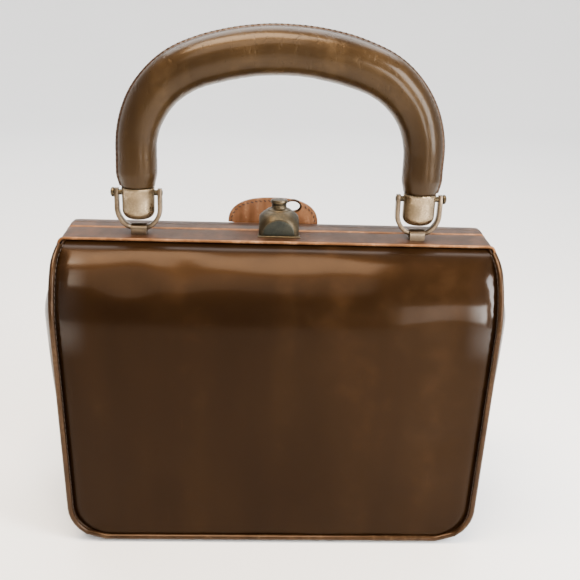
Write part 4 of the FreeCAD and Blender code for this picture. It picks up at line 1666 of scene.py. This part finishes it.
@dataclass
class Studio:
    """Floor, lights and camera."""

    lens: float = 48.5
    spot: Point = (-0.011, -0.455, 0.298)
    pitch: float = 18.5
    yaw: float = 2.4
    roll: float = 1.85
    floor_gap: float = 0.2 * MM

    def lamp(self, name: str, where: Point, aim: Point, size: tuple[float, float], power: float,
             colour: Colour = (1.0, 1.0, 1.0)) -> None:
        """Adds one soft rectangular light.

        Args:
            name: The light's name.
            where: Its place.
            aim: What it points at.
            size: Its width and height.
            power: Its power in watts.
            colour: Its colour.
        """
        data = bpy.data.lights.new(name, "AREA")
        data.shape = "RECTANGLE"
        data.size, data.size_y = size
        data.energy = power
        data.color = colour
        obj = bpy.data.objects.new(name, data)
        obj.location = where
        obj.rotation_euler = (Vector(aim) - Vector(where)).to_track_quat("-Z", "Y").to_euler()
        bpy.context.scene.collection.objects.link(obj)

    def build_lights(self) -> None:
        """Sets an overhead softbox, a side strip and gentle fill."""
        self.lamp("overhead", (-0.12, -0.22, 1.0), (-0.05, 0.0, 0.15), (0.62, 0.32), 25.0, (1.0, 0.80, 0.58))
        self.lamp("front_glow", (-0.15, -0.72, 0.95), (-0.03, 0.0, 0.15), (0.62, 0.4), 7.0, (1.0, 0.86, 0.7))
        self.lamp("ceiling", (0.0, 1.2, 1.9), (0.0, 1.0, 0.0), (3.0, 1.6), 105.0)
        self.lamp("window", (0.5, -1.15, 0.34), (0.1, -0.05, 0.14), (0.26, 0.5), 11.0, (1.0, 0.97, 0.93))
        self.lamp("right_strip", (0.62, -0.40, 0.45), (0.1, -0.02, 0.15), (0.26, 0.7), 18.0,
                  (0.95, 0.97, 1.0))
        world = bpy.data.worlds.new("studio_sky")
        world.use_nodes = True
        back = world.node_tree.nodes["Background"]
        back.inputs["Color"].default_value = (0.93, 0.94, 0.96, 1.0)
        back.inputs["Strength"].default_value = 0.23
        bpy.context.scene.world = world

    def build_floor(self) -> None:
        """Lays the pale round floor that sweeps up all round the bag."""
        flat, bend, segments = 2.0, 1.1, 96
        profile = [(radius, 0.0) for radius in (0.01, 0.4, 0.9, 1.5, flat)]
        for i in range(1, 13):
            angle = math.pi / 2 * i / 12
            profile.append((flat + bend * math.sin(angle), bend * (1 - math.cos(angle))))
        profile += [(flat + bend, 1.7), (flat + bend, 2.3)]
        rows = [[Vector((x, y, height - self.floor_gap)) for x, y in oval(radius, radius, segments)]
                for radius, height in profile]
        verts, faces = Maker.grid(rows, closed=True)
        faces.append(list(range(segments))[::-1])
        mesh = bpy.data.meshes.new("floor")
        mesh.from_pydata([tuple(v) for v in verts], [], faces)
        for polygon in mesh.polygons:
            polygon.use_smooth = True
        floor = bpy.data.objects.new("floor", mesh)
        bpy.context.scene.collection.objects.link(floor)
        s = Shader("pale_floor")
        shade = s.mix(s.noise(3.0), (0.82, 0.82, 0.82), (0.86, 0.86, 0.86))
        mesh.materials.append(s.dress(Base_Color=shade, Roughness=0.9))

    def build_camera(self) -> None:
        """Sets the camera in front of the bag, looking slightly down."""
        pitch, yaw, roll = (math.radians(a) for a in (self.pitch, self.yaw, self.roll))
        ahead = Vector((math.sin(yaw) * math.cos(pitch), math.cos(yaw) * math.cos(pitch), -math.sin(pitch)))
        right = ahead.cross(Vector((0, 0, 1))).normalized()
        up = right.cross(ahead)
        tilted = right * math.cos(roll) + up * math.sin(roll)
        risen = up * math.cos(roll) - right * math.sin(roll)
        data = bpy.data.cameras.new("camera")
        data.lens = self.lens
        data.sensor_width = 36
        data.clip_start = 0.01
        camera = bpy.data.objects.new("camera", data)
        facing = Matrix((tilted, risen, -ahead)).transposed().to_4x4()
        camera.matrix_world = Matrix.Translation(self.spot) @ facing
        bpy.context.scene.collection.objects.link(camera)
        bpy.context.scene.camera = camera

    def build(self) -> None:
        """Builds the whole set."""
        self.build_camera()
        self.build_floor()
        self.build_lights()
        LOG.info("studio")


def main() -> None:
    """Builds every sub-assembly in order."""
    logging.basicConfig(level=logging.INFO, format="%(name)s: %(message)s")
    Studio().build()
    BareParts().build()
    BodySkins().build()
    Inside().build()
    RailCovers().build()
    Handle().build()
    Clasp().build()
    RearTab().build()


if __name__ == "__main__":
    main()
